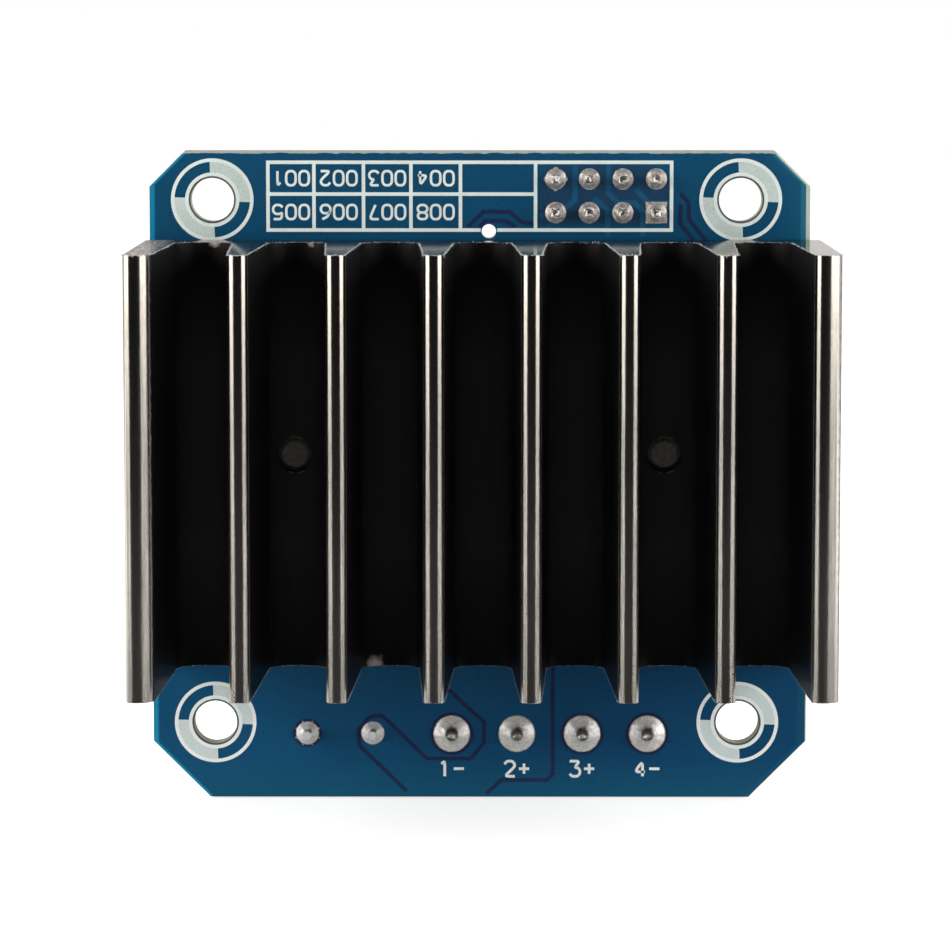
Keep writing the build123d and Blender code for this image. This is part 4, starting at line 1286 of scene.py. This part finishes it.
def capacitor_print(layer):
    """A circle round the capacitor, open at the board's edge, with the negative side hatched. Gives the
    place of the plus sign."""
    low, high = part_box("capacitor_can")
    middle, radius = (low + high) / 2, (high.x - low.x) / 2 + 2 * FAR_GAP
    drop = math.degrees(math.asin((middle.z - board_low.z - FAR_GAP) / radius))
    layer.ribbon(arc(middle.x, middle.z, radius, -drop, 180 + drop, 60), FAR_LINE)
    layer.ribbons([arc(middle.x, middle.z, radius - HATCH_EDGE - HATCH_STEP * step, *HATCH_ARC, 24)
                   for step in range(HATCH_COUNT)], FAR_LINE)
    return middle.x + radius * PLUS_PLACE[0], middle.z + radius * PLUS_PLACE[1]


def far_print():
    layer = far_layer("far_print", "print", PRINT_HEIGHT)
    ring_print(layer, layer, mirror=-1)
    for node, sides in (("left_bridge_body", "lr"), ("right_bridge_body", "lr"), ("buffer_body", "lr"),
                        ("header_base", "lrtb"), ("terminal_housing", "lrt")):
        frame_print(layer, node, sides)

    def label(text, x, z):
        write(layer, text, x, z, FAR_FIGURE, FAR_LINE, mirror=-1)

    label("+", *capacitor_print(layer))
    between = row_of(centre_of("resistor_bodies").x, RESISTOR_COLUMNS + 1, RESISTOR_PITCH)
    layer.ribbons([[(x, z - CHIP_MARK / 2), (x, z + CHIP_MARK / 2)]
                   for z in sorted({z for _, z in resistor_places()}) for x in between], FAR_LINE)
    reach, away = CERAMIC_MARK
    layer.ribbons([[(x - reach, z), (x + reach, z)]
                   for x, middle in ceramic_places() for z in (middle - away, middle + away)], FAR_LINE)
    low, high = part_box("header_base")
    label("1", high.x + BASE_LABEL[0], low.z + BASE_LABEL[1])
    label("8", low.x - BASE_LABEL[0], high.z - BASE_LABEL[1])
    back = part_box("terminal_housing")[1].z + TERMINAL_LABEL
    for (x, _), text in zip(way_places(), LABELS):
        label(text, x, back)
    low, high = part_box("left_bridge_body")
    label("1", low.x - BRIDGE_LABEL[0], high.z - BRIDGE_LABEL[1])
    low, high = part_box("right_bridge_body")
    label("2", high.x + BRIDGE_LABEL[0], high.z - BRIDGE_LABEL[1])
    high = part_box("buffer_body")[1]
    layer.discs([(high.x + FIRST_LEAD_DOT[0], high.z - FIRST_LEAD_DOT[1])], DOT_RADIUS, 20)
    layer.done()


# Capacitor sleeve: a pale stripe with dashes down the side of the negative lead; angles in degrees

STRIPE_HALF = 24.0
STRIPE_STEPS = 16
STRIPE_THICK = 0.02 * MM
STRIPE_START = 4.3 * MM
STRIPE_END = 0.9 * MM
DASH_HALF = 7.0
DASH_REACH = 0.85 * MM
DASH_COUNT = 5


def wrapped(mesh, middle, radius, half, low, high):
    """A patch of film round an upright can, on its left, half an angle to each side, between two heights."""
    inner, outer = rings = [
        [[mesh.verts.new((x, y, z)) for y in (low, high)]
         for x, z in arc(middle.x, middle.z, reach, 180 - half, 180 + half, STRIPE_STEPS)]
        for reach in (radius - STRIPE_THICK, radius + STRIPE_THICK)]
    for step in range(STRIPE_STEPS):
        for row in rings:
            mesh.faces.new((row[step][0], row[step + 1][0], row[step + 1][1], row[step][1]))
        for level in (0, 1):
            mesh.faces.new((inner[step][level], inner[step + 1][level], outer[step + 1][level],
                            outer[step][level]))
    for step in (0, STRIPE_STEPS):
        mesh.faces.new((inner[step][0], inner[step][1], outer[step][1], outer[step][0]))


def sleeve_print():
    low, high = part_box("capacitor_sleeve")
    middle, radius = (low + high) / 2, (high.x - low.x) / 2
    start, end = low.y + STRIPE_START, high.y - STRIPE_END
    stripe, dashes = bmesh.new(), bmesh.new()
    wrapped(stripe, middle, radius, STRIPE_HALF, start, end)
    for index in range(DASH_COUNT):
        y = start + (index + 0.5) * (end - start) / DASH_COUNT
        wrapped(dashes, middle, radius + STRIPE_THICK, DASH_HALF, y - DASH_REACH, y + DASH_REACH)
    piece_from(stripe, "sleeve_stripe", "sleeve_stripe", smooth=30)
    piece_from(dashes, "sleeve_dashes", "black_sleeve", smooth=30)


# Camera, lights, floor and room

def make_camera():
    data = bpy.data.cameras.new("camera")
    data.lens = CAMERA_LENS
    data.sensor_width = CAMERA_SENSOR
    data.clip_start, data.clip_end = 0.01, 10
    camera = new_object("camera", data)
    away = Vector((math.sin(CAMERA_TURN) * math.cos(CAMERA_ELEVATION),
                   -math.cos(CAMERA_TURN) * math.cos(CAMERA_ELEVATION), math.sin(CAMERA_ELEVATION)))
    camera.location = CAMERA_AIM + away * CAMERA_DISTANCE
    camera.rotation_euler = (-away).to_track_quat("-Z", "Y").to_euler()
    bpy.context.scene.camera = camera


def softbox(name, side, radiance):
    data = bpy.data.lights.new(name, "AREA")
    data.shape = "SQUARE"
    data.size = SOFTBOX_SIDE
    data.energy = radiance * math.pi * SOFTBOX_SIDE ** 2
    lamp = new_object(name, data)
    place = Vector((side * math.sin(SOFTBOX_TURN), -math.cos(SOFTBOX_TURN), 0)) * SOFTBOX_DISTANCE
    lamp.location = place
    lamp.rotation_euler = (-place).to_track_quat("-Z", "Z").to_euler()


def make_room():
    """White behind the object and dark where the camera stands, for light and reflections alike; the camera
    sees plain white."""
    world = bpy.data.worlds.new("room")
    bpy.context.scene.world = world
    world.use_nodes = True
    room = Nodes(world.node_tree)
    across = room.axes(room.node("ShaderNodeTexCoord", key="Generated"))[1]
    studio = room.span(across, DARK_FROM, WHITE_FROM, DARK_FRONT, 1.0)
    mirrored = room.math("MAXIMUM", room.ray("Glossy"), room.ray("Transmission"))
    lit = studio * room.span(mirrored, 0.0, 1.0, ROOM_LIGHT, 1.0)
    room.feed(world.node_tree.nodes["Background"].inputs["Color"],
              room.math("MAXIMUM", lit, room.ray("Camera")))


def make_floor():
    """Pale floor, white to the camera apart from the object's shadow. Reflections see it white behind the
    object and as dark as the room in front of it."""
    mesh = bmesh.new()
    bmesh.ops.create_grid(mesh, x_segments=1, y_segments=1, size=FLOOR_SIDE / 2)
    bmesh.ops.translate(mesh, verts=mesh.verts, vec=(0, 0, cad_low.z - FLOOR_DROP))
    look = Finish("pale_floor", Roughness=0.9, Specular_IOR_Level=0.0)
    mirrored = look.ray("Glossy")
    dark = look.fall(look.axes(look.place)[1], FLOOR_DARK_FROM, FLOOR_WHITE_FROM) * mirrored
    pale = look.blend(look.noise(4 * MM), (232, 232, 230), (238, 238, 236))
    seen = look.math("MAXIMUM", look.ray("Camera"), mirrored - dark)
    look.set(Base_Color=look.blend(dark, pale, (DARK_FRONT, DARK_FRONT, DARK_FRONT, 1)),
             Emission_Color=(1, 1, 1, 1), Emission_Strength=seen * FLOOR_GLOW)
    floor = new_object("floor", new_mesh("floor", mesh, look.material))


def main():
    bpy.context.scene.view_settings.view_transform = "Standard"
    make_camera()
    softbox("left_softbox", -1, LEFT_SOFTBOX_RADIANCE)
    softbox("right_softbox", 1, RIGHT_SOFTBOX_RADIANCE)
    make_room()
    make_floor()
    finish_nodes()
    near_print()
    near_copper()
    near_pads()
    solder_joints()
    thermal_spokes()
    heatsink_burrs()
    hole_marks()
    clamp_threads()
    far_pads()
    far_fillets()
    far_copper()
    far_print()
    sleeve_print()


main()
